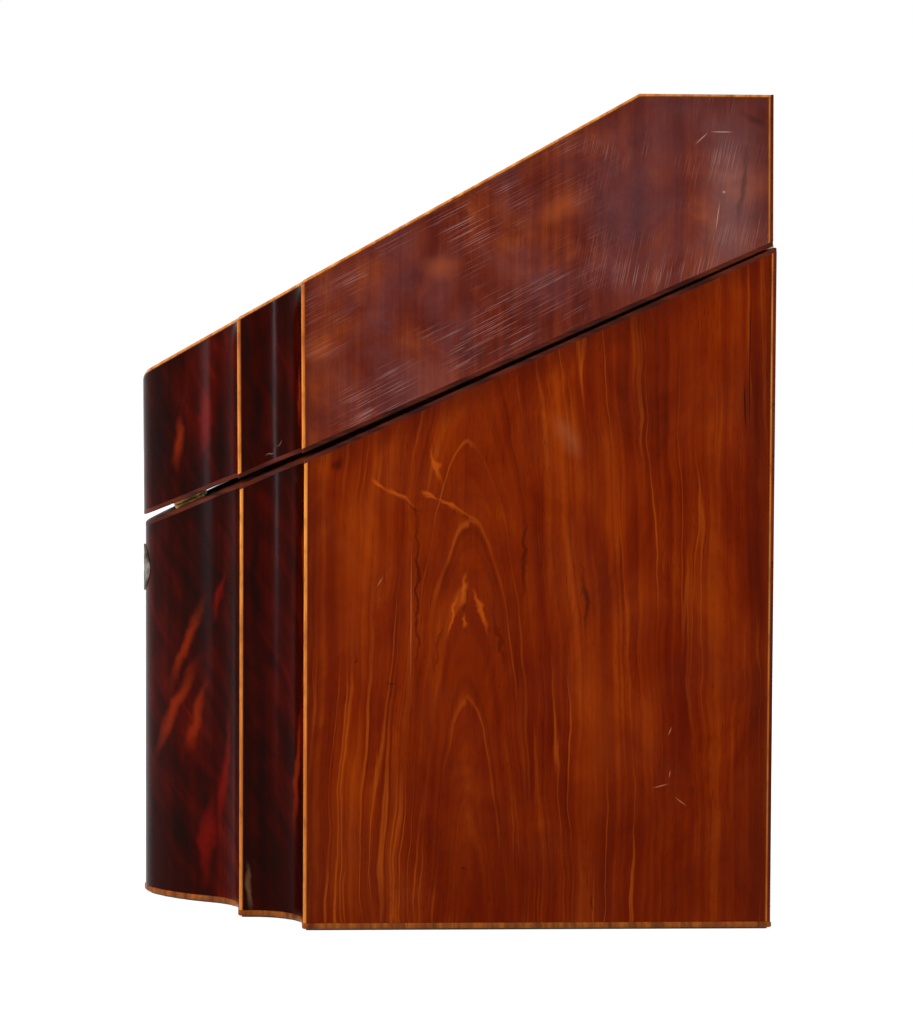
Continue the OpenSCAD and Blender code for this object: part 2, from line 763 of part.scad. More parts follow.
module hinge_pins() {
    color("peru") for (x = hinge_places)
        knuckle_clearance(x - hinge_l / 2, x + hinge_l / 2, pin_r);
}
module hinge_lower_screws() {
    color("gold") for (x = hinge_places) translate([x, 0, 0]) at_rim(y_back)
        hinge_screw_places() slotted_screw(screw_r, screw_head_r, screw_l);
}
module hinge_upper_screws() {
    color("gold") for (x = hinge_places) translate([x, 0, 0]) at_lid(y_back)
        hinge_screw_places() mirror([0, 0, 1]) slotted_screw(screw_r, screw_head_r, screw_l);
}

// ---- lid ----------------------------------------------------------------------------------

module lid_side_core() {
    lid_prism(lid_profile(facing_t, roof_t)) rect(half_w - wall, half_w - veneer_t, y_corner + wall, y_inner);
}
module lid_side_core_left() {
    color("peru") mirror([1, 0, 0]) lid_side_core();
}
module lid_side_core_right() {
    color("peru") lid_side_core();
}
module lid_back_core() {
    color("peru") difference() {
        lid_prism(lid_profile(facing_t, roof_t))
            rect(-half_w + veneer_t, half_w - veneer_t, y_inner, y_back - back_veneer_t);
        upper_hinge_cuts();
    }
}
module lid_bow_core() {
    color("peru") difference() {
        lid_prism(lid_profile(facing_t, roof_t)) polygon(bow_strip(veneer_t, wall, arris_x - wall));
        link_cuts();
    }
}
module lid_wing_core() {
    lid_prism(lid_profile(facing_t, roof_t)) polygon(wing_core_plan());
}
module lid_wing_core_left() {
    color("peru") mirror([1, 0, 0]) lid_wing_core();
}
module lid_wing_core_right() {
    color("peru") lid_wing_core();
}
module lid_block() {
    color("tan") difference() {
        lid_prism(lid_rim_band(0, lid_block_h)) lock_block_plan();
        link_cuts();
    }
}
module slope_panel() {
    color("peru") lid_prism(slope_band(veneer_t, roof_t)) polygon(core_plan());
}
module top_panel() {
    color("peru") lid_prism(top_band(veneer_t, roof_t)) polygon(core_plan());
}
module slope_veneer() {
    color("saddlebrown") lid_prism(slope_band(0, veneer_t)) polygon(plan(veneer_t, back_veneer_t));
}
module top_veneer() {
    color("saddlebrown") lid_prism(top_band(0, veneer_t)) polygon(plan(veneer_t, back_veneer_t));
}
module lid_side_veneer() {
    lid_prism(lid_profile(facing_t, top_string_w))
        rect(half_w - veneer_t, half_w, y_corner + string_w, y_back - back_veneer_t - back_string_w);
}
module lid_side_veneer_left() {
    color("saddlebrown") mirror([1, 0, 0]) lid_side_veneer();
}
module lid_side_veneer_right() {
    color("saddlebrown") lid_side_veneer();
}
module lid_back_veneer() {
    color("saddlebrown") difference() {
        lid_prism(lid_profile(facing_t, 0)) rect(-half_w, half_w, y_back - back_veneer_t, y_back);
        upper_hinge_cuts();
    }
}
module lid_bow_veneer() {
    color("maroon") lid_prism(lid_profile(facing_t, top_string_w))
        polygon(bow_strip(0, veneer_t, arris_x - string_w));
}
module lid_wing_veneer() {
    lid_prism(lid_profile(facing_t, top_string_w)) polygon(wing_veneer_plan());
}
module lid_wing_veneer_left() {
    color("maroon") mirror([1, 0, 0]) lid_wing_veneer();
}
module lid_wing_veneer_right() {
    color("maroon") lid_wing_veneer();
}
module lid_edge_strings() {
    color("goldenrod") both_sides() lid_prism(lid_profile(facing_t, top_string_w)) string_plans();
}
module lid_top_strings() {
    color("goldenrod") {
        both_sides() lid_prism(roof_band(0, top_string_w))
            rect(half_w - veneer_t, half_w, y_corner, y_back - back_veneer_t);
        lid_prism(roof_band(0, top_string_w))
            polygon(concat(front_line(0, half_w), reversed(front_line(veneer_t, half_w))));
    }
}
module lid_rim_facing() {
    color("sienna") difference() {
        lid_prism(lid_rim_band(0, facing_t)) rim_plan();
        link_cuts();
        upper_hinge_cuts();
    }
}
// cloth under the slope and top, and round the walls except where the block is
module lid_lining() {
    color("seagreen") {
        lid_prism(roof_band(roof_t, roof_t + lining_t)) polygon(plan(wall, back_wall));
        difference() {
            lid_prism(lid_profile(facing_t, roof_t + lining_t)) difference() {
                polygon(plan(wall, back_wall));
                polygon(plan(wall + lining_t, back_wall + lining_t));
            }
            lid_prism(lid_rim_band(0, lid_block_h)) rect(-half_w, half_w, y_apex - far / 2, lock_face_y);
        }
    }
}

// ---- link plate ---------------------------------------------------------------------------

module link_shape() {
    block([-plate_l / 2, plate_l / 2], [plate_front, plate_back], [-plate_proud, plate_let_in]);
}
module link_cuts() {
    at_link() {
        link_shape();
        translate([0, 0, -plate_proud]) plate_screw_places() mirror([0, 0, 1])
            screw_shape(plate_screw_r, plate_screw_head_r, plate_screw_l, fit);
    }
}
module link_plate() {
    color("gold") at_link() {
        difference() {
            link_shape();
            translate([0, 0, -plate_proud]) plate_screw_places() mirror([0, 0, 1])
                screw_shape(plate_screw_r, plate_screw_head_r, plate_screw_l, fit);
        }
        for (x = [-staple_x, staple_x]) difference() {
            block([x - staple_t / 2, x + staple_t / 2], [-staple_half, staple_half],
                [staple_tip - plate_gap, 0]);
            block([x - staple_t, x + staple_t], [-eye_half, eye_half],
                [eye_bottom - plate_gap, eye_top - plate_gap]);
        }
    }
}
module link_screws() {
    color("gold") at_link() translate([0, 0, -plate_proud]) plate_screw_places() mirror([0, 0, 1])
        slotted_screw(plate_screw_r, plate_screw_head_r, plate_screw_l);
}

base_baize();
base_moulding();
bottom_board();
side_core_left();
side_core_right();
back_core();
bow_core();
wing_core_left();
wing_core_right();
lock_block();
side_veneer_left();
side_veneer_right();
back_veneer();
bow_veneer();
wing_veneer_left();
wing_veneer_right();
edge_strings();
rim_facing();
cutlery_board();
board_strings();
board_cleats();
partitions();
lock_case();
lock_selvedge();
lock_pin();
bolt_spring();
lock_screws();
lock_bolt();
escutcheon();
escutcheon_pins();
hinge_lower_leaves();
hinge_pins();
hinge_lower_screws();
lid_side_core_left();
lid_side_core_right();
lid_back_core();
lid_bow_core();
lid_wing_core_left();
lid_wing_core_right();
lid_block();
slope_panel();
top_panel();
lid_side_veneer_left();
lid_side_veneer_right();
lid_back_veneer();
lid_bow_veneer();
lid_wing_veneer_left();
lid_wing_veneer_right();
slope_veneer();
top_veneer();
lid_edge_strings();
lid_top_strings();
lid_rim_facing();
lid_lining();
link_plate();
link_screws();
hinge_upper_leaves();
hinge_upper_screws();
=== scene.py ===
import bmesh
import bpy
import numpy as np
from mathutils import Matrix, Vector


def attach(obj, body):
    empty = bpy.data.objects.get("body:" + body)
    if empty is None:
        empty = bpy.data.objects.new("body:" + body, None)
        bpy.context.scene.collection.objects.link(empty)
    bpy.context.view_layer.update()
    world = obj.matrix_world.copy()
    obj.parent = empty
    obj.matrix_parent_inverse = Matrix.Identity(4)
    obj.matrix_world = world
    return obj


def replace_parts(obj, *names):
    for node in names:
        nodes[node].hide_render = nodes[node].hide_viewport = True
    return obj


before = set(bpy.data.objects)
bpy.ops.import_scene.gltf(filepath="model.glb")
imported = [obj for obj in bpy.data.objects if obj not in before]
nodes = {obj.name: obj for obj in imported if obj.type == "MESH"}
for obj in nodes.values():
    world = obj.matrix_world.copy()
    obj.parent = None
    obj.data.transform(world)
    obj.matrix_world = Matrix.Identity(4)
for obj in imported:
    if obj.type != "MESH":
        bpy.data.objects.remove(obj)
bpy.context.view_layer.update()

# %% [markdown]
# ## The camera
# The view is square to the right side and a little below the lid. A long lens keeps the upright edges almost
# parallel. The camera's axes are written as three vectors: what is to its right, what is up and what is behind.
# %% Place the camera
CAMERA_AT = np.array([1.58097, -0.07640, 0.26326])
CAMERA_YAW, CAMERA_PITCH, CAMERA_ROLL = -0.05202, 0.05313, 0.0049961
LENS, SENSOR = 118.08, 36


def linked(name, data):
    """A new object that shows its data in the scene."""
    made = bpy.data.objects.new(name, data)
    bpy.context.scene.collection.objects.link(made)
    return made


def camera_axes(yaw, pitch, roll):
    """Looks along -X, turned by yaw and dipped by pitch; right is square to that and level, then both roll."""
    ahead = -np.array([np.cos(pitch) * np.cos(yaw), np.cos(pitch) * np.sin(yaw), np.sin(pitch)])
    right = np.cross(ahead, (0, 0, 1))
    right /= np.linalg.norm(right)
    up = np.cross(right, ahead)
    return right * np.cos(roll) + up * np.sin(roll), up * np.cos(roll) - right * np.sin(roll), -ahead


camera_data = bpy.data.cameras.new("camera")
camera_data.lens, camera_data.sensor_width = LENS, SENSOR
camera = linked("camera", camera_data)
placed = np.eye(4)
placed[:3, :3] = np.stack(camera_axes(CAMERA_YAW, CAMERA_PITCH, CAMERA_ROLL), 1)
placed[:3, 3] = CAMERA_AT
camera.matrix_world = Matrix(placed.tolist())
bpy.context.scene.camera = camera
print("camera", CAMERA_AT, "lens", LENS)

# %% [markdown]
# ## The plan of the front
# Seen from above the front is a run of arcs that meet without a kink: a tight nose, a long flank, a hollow at
# its foot, a flat step, a sharp arris, a cove and a flat land beside the corner. Each arc keeps its centre when
# the line moves inwards, so a line inset by t is the same run with other radii. All lengths here are in
# millimetres, as the maker's drawing has them, and become metres when a mesh is made.
# %% Sizes of the case
MM = 0.001
HALF_W, SIDE_DEPTH = 112.0, 207.0
CORNER_LAND, COVE_R, ARRIS_RETURN, STEP_LAND = 11.5, 23.0, 5.5, 15.8
FILLET_R, NOSE_R, NOSE_ANGLE, FLANK_ANGLE = 26.8, 26.0, 35.0, 62.0
VENEER, BACK_VENEER, WALL, BACK_WALL, FACING = 1.0, 1.2, 11.0, 11.2, 2.2
STRING, BACK_STRING, TOP_STRING = 1.7, 1.1, 1.3
BAIZE_TOP, BASE_TOP, BASE_PROUD, BAIZE_INSET = 0.9, 3.5, 0.5, 1.5
EDGE_ROUND, BACK_ROUND = 0.9, 0.6


def sin(degrees):
    return np.sin(np.radians(degrees))


def cos(degrees):
    return np.cos(np.radians(degrees))


ARRIS_X = HALF_W - CORNER_LAND - COVE_R
FLANK_R = (ARRIS_X - STEP_LAND - FILLET_R * sin(FLANK_ANGLE) - NOSE_R * sin(NOSE_ANGLE)) / (
    sin(FLANK_ANGLE) - sin(NOSE_ANGLE))
BOW_RISE = (FILLET_R * (1 - cos(FLANK_ANGLE)) + FLANK_R * (cos(NOSE_ANGLE) - cos(FLANK_ANGLE))
            + NOSE_R * (1 - cos(NOSE_ANGLE)))
Y_BACK = (SIDE_DEPTH + COVE_R + ARRIS_RETURN + BOW_RISE) / 2
Y_CORNER = Y_BACK - SIDE_DEPTH
Y_STEP = Y_CORNER - COVE_R - ARRIS_RETURN
NOSE_C = np.array([0.0, -Y_BACK + NOSE_R])
FLANK_C = NOSE_C + (NOSE_R - FLANK_R) * np.array([sin(NOSE_ANGLE), -cos(NOSE_ANGLE)])
FILLET_C = np.array([ARRIS_X - STEP_LAND, Y_STEP - FILLET_R])
COVE_C = np.array([HALF_W - CORNER_LAND, Y_CORNER - COVE_R])
print("case", 2 * HALF_W, "by", round(2 * Y_BACK, 1), "mm, flank radius", round(FLANK_R, 2))

# %% [markdown]
# Each part of the outline is a function of the inset t, in millimetres, so the same few lines give the outside
# of a veneer at t = 0, its inside at t = 1 and the inner face of the wall at t = 11.
# %% Lines of the plan, inset by t


def arc(centre, radius, start, end, count):
    """Points at equal angles from start to end round a centre."""
    a = np.linspace(start, end, count)
    return np.stack([centre[0] + radius * cos(a), centre[1] + radius * sin(a)], 1)


def straight(a, b, count):
    """Points at equal steps from a to b."""
    return np.linspace(np.array(a, float), np.array(b, float), count)


def turned_corner(x, y, t):
    """Right-angled corner at (x, y) rounded by EDGE_ROUND, with a straight lead of a string's width at each end."""
    r, edge = max(EDGE_ROUND, t + 0.05), max(STRING, t + 0.3)
    return np.concatenate([[[x - edge, y + t]], arc((x - r, y + r), r - t, -90, 0, 9), [[x - t, y + edge]]])


def half_bow(t, end=ARRIS_X - STRING):
    """Right half of the bow: nose and flank shrink by t, and the hollow at its foot grows by t."""
    return np.concatenate([
        arc(NOSE_C, NOSE_R - t, -90, NOSE_ANGLE - 90, 25),
        arc(FLANK_C, FLANK_R - t, NOSE_ANGLE - 90, FLANK_ANGLE - 90, 21)[1:],
        arc(FILLET_C, FILLET_R + t, 90 + FLANK_ANGLE, 90, 25)[1:],
        straight((FILLET_C[0], Y_STEP + t), (end, Y_STEP + t), 4)[1:]])


def bow_line(t):
    """The bow from one arris string to the other: the right half and its mirror image."""
    half = half_bow(t)
    return np.concatenate([half[:0:-1] * (-1, 1), half])


def arris_line(t):
    return turned_corner(ARRIS_X, Y_STEP, t)


def wing_line(t):
    """From the arris string round the cove to the corner string."""
    return np.concatenate([
        [[ARRIS_X - t, Y_STEP + STRING]], arc(COVE_C, COVE_R + t, 180, 90, 33),
        [[HALF_W - STRING, Y_CORNER + t]]])


def corner_line(t):
    return turned_corner(HALF_W, Y_CORNER, t)


def side_line(t, end=Y_BACK - BACK_VENEER - BACK_STRING):
    return straight((HALF_W - t, Y_CORNER + STRING), (HALF_W - t, end), 12)


def back_string_line(t):
    return straight((HALF_W - t, Y_BACK - BACK_VENEER - BACK_STRING), (HALF_W - t, Y_BACK - BACK_VENEER), 3)


def outline(t, back_t=None):
    """Closed outline inset by t. Past the arris return the cove's start slides round to the step's line."""
    back_y = Y_BACK - (t if back_t is None else back_t)
    stop = 90 + np.degrees(np.arcsin(max(0.0, t - CORNER_LAND + 0.4) / (COVE_R + t)))
    if t > ARRIS_RETURN:
        start = 180 - np.degrees(np.arcsin((t - ARRIS_RETURN) / (COVE_R + t)))
        hollow = arc(COVE_C, COVE_R + t, start, stop, 43)
        bow = half_bow(t, hollow[0, 0] - 0.3)
    else:
        hollow = np.concatenate([arris_line(t)[1:], arc(COVE_C, COVE_R + t, 180, stop, 33)])
        bow = half_bow(t, ARRIS_X - max(STRING, t + 0.3))
    right = np.concatenate([bow, hollow, corner_line(t), side_line(t, back_y - 1)[1:],
                            arc((HALF_W - t - BACK_ROUND, back_y - BACK_ROUND), BACK_ROUND, 0, 90, 5),
                            straight((HALF_W - t - 1, back_y), (0, back_y), 10)])
    return np.concatenate([right, (right * (-1, 1))[-2:0:-1]])


print("outline of", len(outline(0)), "points")

# %% [markdown]
# ## The two rims and the roof
# The case is cut by one sloping plane and the lid by another, a shade flatter, so that the gap between them
# widens towards the front. The lid's walls lean a little forwards, as the old hinges let them. A height in the
# lid is therefore found by following the leaning wall up to a plane, which is one linear equation.
# %% Planes of the rims and roof
RIM_ANGLE, LID_ANGLE, LID_LEAN, LID_SHIFT = 24.4, 24.0, 0.4, 1.6
RIM_BACK, BACK_GAP = 302.0, 0.85
LID_TOP, SLOPE_ANGLE, RIDGE_BACK = 368.3, 29.3, 146.0
RIDGE_Y = Y_CORNER + RIDGE_BACK
LID_Z = RIM_BACK + BACK_GAP


def tan(degrees):
    return np.tan(np.radians(degrees))


def rim_z(y):
    return RIM_BACK - (Y_BACK - y) * tan(RIM_ANGLE)


def wall_height(y, at_zero, rise):
    """Length along the leaning wall at plan depth y up to the plane z = at_zero + rise * y."""
    d = y - Y_BACK
    level = at_zero + rise * (Y_BACK - LID_SHIFT + d * cos(LID_LEAN)) - LID_Z - d * sin(LID_LEAN)
    return level / (cos(LID_LEAN) + rise * sin(LID_LEAN))


def under_height(y, rise):
    """Height along the wall of the lid's underside, raised by rise."""
    return wall_height(y, LID_Z - Y_BACK * tan(LID_ANGLE) + rise, tan(LID_ANGLE))


def roof_height(y, drop):
    """Height along the wall of the roof, lowered by drop: the lower of the slope and the flat top."""
    slope = wall_height(y, LID_TOP - RIDGE_Y * tan(SLOPE_ANGLE) - drop / cos(SLOPE_ANGLE), tan(SLOPE_ANGLE))
    return np.minimum(slope, wall_height(y, LID_TOP - drop, 0.0))


def lean(xy, height):
    """Carries plan points up the leaning walls: a turn about a line along the back, then a shift forwards."""
    d = xy[..., 1] - Y_BACK
    return np.stack([xy[..., 0], Y_BACK - LID_SHIFT + d * cos(LID_LEAN) - height * sin(LID_LEAN),
                     LID_Z + d * sin(LID_LEAN) + height * cos(LID_LEAN)], -1)


RIDGE_PLAN = Y_BACK + (RIDGE_Y - Y_BACK + LID_SHIFT + (LID_TOP - LID_Z) * tan(LID_LEAN)) * cos(LID_LEAN)
print("ridge at", round(RIDGE_Y, 1), "and in the leaning plan at", round(RIDGE_PLAN, 1))

# %% [markdown]
# ## From numbers to meshes
# A veneer is a thin slab: an outer grid of points, the same grid a millimetre further in, and a strip round
# the border. A moulding or a string is a loop of points carried along a path. Both keep, at each point, where
# it is on the flat sheet it was cut from ("cut"), so that the figure of the wood follows the surface round a
# curve, and how far it is from the sheet's edges ("border"), where polish and dirt wear differently.
# %% Mesh helpers


def grid_faces(rows, columns, offset=0, close_rows=False, close_columns=False):
    """Four corners of every cell of a grid of rows by columns, wrapped round where it closes."""
    i = np.arange(rows if close_rows else rows - 1)[:, None]
    j = np.arange(columns if close_columns else columns - 1)[None, :]
    a, b = i * columns + j, i * columns + (j + 1) % columns
    c, d = ((i + 1) % rows) * columns + (j + 1) % columns, ((i + 1) % rows) * columns + j
    return np.stack([a, b, c, d], -1).reshape(-1, 4) + offset


def turns_outwards(points, faces):
    """True if the faces' volume is positive: the sum of each triangle's signed tetrahedron from the origin."""
    a, b, c, d = (points[faces[:, k]] for k in range(4))
    return (np.einsum("ij,ij->i", a, np.cross(b, c)) + np.einsum("ij,ij->i", a, np.cross(c, d))).sum() > 0


def new_piece(name, points, faces, body, slot, caps=(), cut=None, border=None, angle=32):
    """Makes one closed mesh from millimetre points, with its sheet places, and lets it ride on its body."""
    points = np.asarray(points, float).reshape(-1, 3)
    if not turns_outwards(points, faces):
        faces, caps = faces[:, ::-1], [cap[::-1] for cap in caps]
    mesh = bpy.data.meshes.new(name)
    mesh.from_pydata((points * MM).tolist(), [], faces.tolist() + [list(map(int, cap)) for cap in caps])
    for title, values in (("cut", cut), ("border", border)):
        if values is not None:
            layer = mesh.attributes.new(title, "FLOAT_VECTOR", "POINT")
            layer.data.foreach_set("vector", np.asarray(values, np.float32).ravel())
    mesh.shade_smooth()
    mesh.set_sharp_from_angle(angle=np.radians(angle))
    mesh.validate()
    piece = linked(name, mesh)
    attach(piece, body)
    print(f"{name}: {len(mesh.vertices)} points, {len(mesh.polygons)} faces, on {body}")
    return piece


def slab(name, outer, inner, body, slot, cut, border=None, **options):
    """Closed sheet between two grids of the same size: both faces and the four strips of its border."""
    rows, columns = outer.shape[:2]
    count = rows * columns
    ring = np.concatenate([np.arange(columns), np.arange(1, rows) * columns + columns - 1,
                           (rows - 1) * columns + np.arange(columns - 2, -1, -1), np.arange(rows - 2, 0, -1) * columns])
    nxt = np.roll(ring, -1)
    faces = np.concatenate([grid_faces(rows, columns), grid_faces(rows, columns, count)[:, ::-1],
                            np.stack([ring, ring + count, nxt + count, nxt], -1)])
    twice = lambda values: None if values is None else np.concatenate([values.reshape(-1, 3)] * 2)
    return new_piece(name, np.concatenate([outer.reshape(-1, 3), inner.reshape(-1, 3)]), faces, body, slot,
                     cut=twice(cut), border=twice(border), **options)


def swept(name, loops, body, slot, closed, cut=None, border=None, **options):
    """A closed profile (first axis) carried along a path (second axis), with flat ends on an open path."""
    rows, columns = loops.shape[:2]
    faces = grid_faces(rows, columns, close_rows=True, close_columns=closed)
    first = np.arange(rows) * columns
    ends = [] if closed else [first, (first + columns - 1)[::-1]]
    return new_piece(name, loops, faces, body, slot, caps=ends, cut=cut, border=border, **options)


def along(line):
    """Distance along a line of points, from its start."""
    return np.concatenate([[0], np.cumsum(np.linalg.norm(np.diff(line, axis=0), axis=1))])


def sheet_places(u, v):
    """Where each point lies on the flat sheet, in metres: u along the line and v up it."""
    u, v = np.broadcast_arrays(u, v)
    return np.stack([u, v, np.zeros(u.shape)], -1) * MM


def borders(u, v, top):
    """Distances to the sheet's left, right and top edges, in millimetres."""
    u, v = np.broadcast_arrays(u, v)
    return np.stack([u - u.min(), u.max() - u, top - v], -1)


def laid(name, wall, outer, inner, u, body, slot, hand):
    """A slab between two lines carried up a wall, each a (line, inset) pair; the left hand is the mirror image."""
    outer, inner = wall(*outer), wall(*inner)
    places, edge = sheet_places(u, outer[..., 2]), borders(u, outer[..., 2], outer[-1:, :, 2])
    if hand == "left":
        outer, inner = outer * (-1, 1, 1), inner * (-1, 1, 1)
    return slab(name, outer, inner, body, slot, places, edge)


print("mesh helpers ready")

# %% [markdown]
# ## Veneers and strings of the case
# The case's skins run from the base to just under the rim. A wall skin needs only a few rows, because it is
# straight from bottom to top, but many columns where it curves. The sheet is laid once for the right half and
# mirrored for the left, as the makers did with two leaves cut from one block.
# %% Skins of the case


WALL_ROWS, LID_ROWS = 5, 4


def case_wall(line, t):
    """Grid of a wall: the plan line inset by t, from the base up to the facing under the sloping rim."""
    xy = line(t)
    top = rim_z(xy[:, 1]) - FACING
    share = np.linspace(0, 1, WALL_ROWS)[:, None]
    z = BASE_TOP + share * (top - BASE_TOP)
    return np.concatenate([np.broadcast_to(xy, (WALL_ROWS, len(xy), 2)), z[..., None]], -1)


def depth_along(line):
    return line[:, 1]


def from_middle(line):
    return along(line) - along(line)[-1] / 2


pieces = {}


def lay_skins(lead, wall, side, body, side_slot):
    """Side, wing and bow skins of one body, on both hands, each in place of its packed veneer."""
    for hand in ("right", "left"):
        for part, line, u_of, slot in (("side", side, depth_along, side_slot),
                                       ("wing", wing_line, along, "front_veneer")):
            skin = laid(f"{lead}{part}_skin_{hand}", wall, (line, 0), (line, VENEER), u_of(line(0)), body, slot, hand)
            pieces[lead + part, hand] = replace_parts(skin, f"{lead}{part}_veneer_{hand}")
    bow = laid(f"{lead}bow_skin", wall, (bow_line, 0), (bow_line, VENEER), from_middle(bow_line(0)), body,
               "front_veneer", "right")
    pieces[lead + "bow"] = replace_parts(bow, f"{lead}bow_veneer")


lay_skins("", case_wall, side_line, "carcase", "side_veneer")

# %% [markdown]
# A string is a square strip glued into a notch along an edge and planed flush. Two centuries of dusting have
# rounded it, so its outer line turns through a small arc, while its inner line keeps the square notch.
# %% Strings on the upright edges


def notch_line(x, y):
    """Inner sides of a string's square notch, with as many points as the outer line."""
    corner = np.array([[x - STRING, y], [x - STRING, y + STRING], [x, y + STRING]])
    outer = np.linspace(0, 2, 11)
    return np.stack([np.interp(outer, (0, 1, 2), corner[:, k]) for k in (0, 1)], 1)


STRINGS = {"corner": (corner_line, lambda t: notch_line(HALF_W, Y_CORNER)),
           "arris": (arris_line, lambda t: notch_line(ARRIS_X, Y_STEP)),
           "back": (back_string_line, lambda t: back_string_line(VENEER))}


def lay_strings(name, wall, body):
    """Each string on each side: the outer line and its notch, carried up the wall."""
    return [laid(f"{name}_{key}_{hand}", wall, (line, 0), (notch, 0), along(line(0)), body, "boxwood", hand)
            for key, (line, notch) in STRINGS.items() for hand in ("right", "left")]


case_strings = lay_strings("string", case_wall, "carcase")
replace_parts(case_strings[0], "edge_strings")

# %% [markdown]
# ## Facings, base and baize
# Strips of mahogany cover the top edge of the walls. Their outer edge is where hands meet the box, so it is
# the most rounded and catches a bright line of light. The same idea, a small loop of points carried round
# the whole outline, makes the rim, the base moulding and the baize under it.
# %% Worn edges


def worn(t, drop, radius):
    """Rounds an edge: a point in the corner square of side radius moves onto the quarter circle that fills it."""
    a, b = radius - t, radius - drop
    reach = np.hypot(np.maximum(a, 0), np.maximum(b, 0))
    scale = np.where((a > 0) & (b > 0) & (reach > radius), radius / np.maximum(reach, 1e-9), 1.0)
    return radius - a * scale, radius - b * scale


def edge_profile(radius, steps):
    """The two legs of the corner square, close enough together to become an arc."""
    legs = np.linspace(radius, 0, steps)
    return [(0.0, d) for d in legs] + [(t, 0.0) for t in legs[::-1][1:]]


def round_places(rows):
    """Sheet places of a ring: the way round the outline, and one value for each of its rows of points."""
    return sheet_places(along(outline(0)), np.array(rows)[:, None]).reshape(-1, 3)


def facing_profile(radius, steps):
    """Section of a rim facing: a worn outer edge, a flat top with two extra points, a small inner bevel."""
    edge = [tuple(map(float, worn(t, d, radius))) for t, d in edge_profile(radius, steps)]
    return [(0, FACING)] + edge + [(5, 0), (WALL - BEVEL, 0), (WALL, BEVEL), (WALL, FACING), (5, FACING)]


def ring_piece(name, profile, height_of, body, slot, back_scale=1.0):
    """A profile of (inset, drop) carried round the closed outline at the height that height_of gives."""
    loops = np.array([height_of(outline(t, t * back_scale), drop) for t, drop in profile])
    return swept(name, loops, body, slot, closed=True, cut=round_places([t + drop for t, drop in profile]))


def upright(xy, z):
    return np.concatenate([xy, np.broadcast_to(z, xy.shape[:1])[:, None]], 1)


RIM_ROUND, LID_RIM_ROUND, BASE_ROUND, BEVEL = 1.1, 0.6, 0.8, 0.4
rim = ring_piece("rim_facing_ring", facing_profile(RIM_ROUND, 6),
                 lambda xy, drop: upright(xy, rim_z(xy[:, 1]) - drop), "carcase", "rim_mahogany", BACK_WALL / WALL)
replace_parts(rim, "rim_facing")

# %% [markdown]
# The base is a thin board that stands half a millimetre proud all round. It is a plate: loops of points, one
# above the other, with a single face that closes each end. Its lower and upper edges are rubbed round.
# %% Base moulding


def plate(name, loops, v, slot, **options):
    """A flat plate: a stack of loops round the outline, closed above and below by one face each."""
    rows, columns = loops.shape[:2]
    caps = [np.arange(columns)[::-1], np.arange(columns) + (rows - 1) * columns]
    faces = grid_faces(rows, columns, close_columns=True)
    return new_piece(name, loops, faces, "carcase", slot, caps=caps, cut=round_places(v), **options)


base_edge = [worn(t, d, BASE_ROUND) for t, d in edge_profile(BASE_ROUND, 4)]
base_profile = ([(float(t) - BASE_PROUD, BAIZE_TOP + float(d)) for t, d in base_edge[::-1]]
                + [(float(t) - BASE_PROUD, BASE_TOP - float(d)) for t, d in base_edge])
moulding = plate("base_strip", np.array([upright(outline(t), z) for t, z in base_profile]),
                 [z for _, z in base_profile], "base_mahogany")
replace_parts(moulding, "base_moulding")

# %% [markdown]
# The baize is a square of green wool cloth glued under the base. Its cut edge is never clean: the wool
# frays, so the outline wavers by a few tenths of a millimetre, with a fixed seed so that it is always the same.
# %% Baize
# how far the fray reaches, and each row's inset, height and share of the fray
FRAY_REACH = 0.6
BAIZE_ROWS = ((2.2, 0.0, 0.0), (BAIZE_INSET, 0.15, 0.5), (BAIZE_INSET - 0.2, 0.5, 1.0), (BAIZE_INSET, 0.9, 0.3))
fray = np.random.default_rng(11).uniform(-1, 1, len(outline(0)))
fray = 0.5 * (fray + np.roll(fray, 1))


def frayed(inset, z, share):
    """The outline at one height, pushed out and in by a share of the fray."""
    inner, outer = outline(inset), outline(inset - FRAY_REACH)
    return upright(inner + (outer - inner) * (fray * share)[:, None], z)


baize = plate("baize_sheet", np.array([frayed(*row) for row in BAIZE_ROWS]), [z for _, z, _ in BAIZE_ROWS], "baize",
              angle=60)
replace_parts(baize, "base_baize")
x, y = outline(BAIZE_INSET).T

# %% [markdown]
# ## The lid
# The lid's skins are laid the same way, on leaning walls and under a roof. Its top edges are more worn than
# the case's: most at the middle of the bow, where the lid is lifted, and at the arrises and corners. The
# radius of the rounding is therefore a smooth function of the place along the edge.
# %% Skins of the lid


def wear_radius(xy):
    """Radius of the worn top edge: a base value, with smooth bumps at the nose, the arrises and the corners."""
    x, y = np.abs(xy[:, 0]), xy[:, 1]
    nose = np.exp(-(x / 13) ** 2) * (y < Y_STEP - 5)
    arris = np.exp(-((x - ARRIS_X) ** 2 + (y - Y_STEP) ** 2) / 9)
    corner = np.exp(-((x - HALF_W) ** 2 + (y - Y_CORNER) ** 2) / 9)
    return 0.9 + 2.4 * nose + 0.9 * arris + 0.7 * corner


def lid_row(line, t, drop):
    """One row of points under the roof, inset by t and lowered by drop, after the edge's wear."""
    first, second = line(0), line(1.0)
    t_worn, drop_worn = worn(t, drop, wear_radius(first))
    xy = first + np.reshape(t_worn, (-1, 1)) * (second - first)
    return lean(xy, roof_height(xy[:, 1], drop_worn))


WALL_DROPS = (6.0, 4.5, 3.5, 2.8, 2.2, 1.7, TOP_STRING)


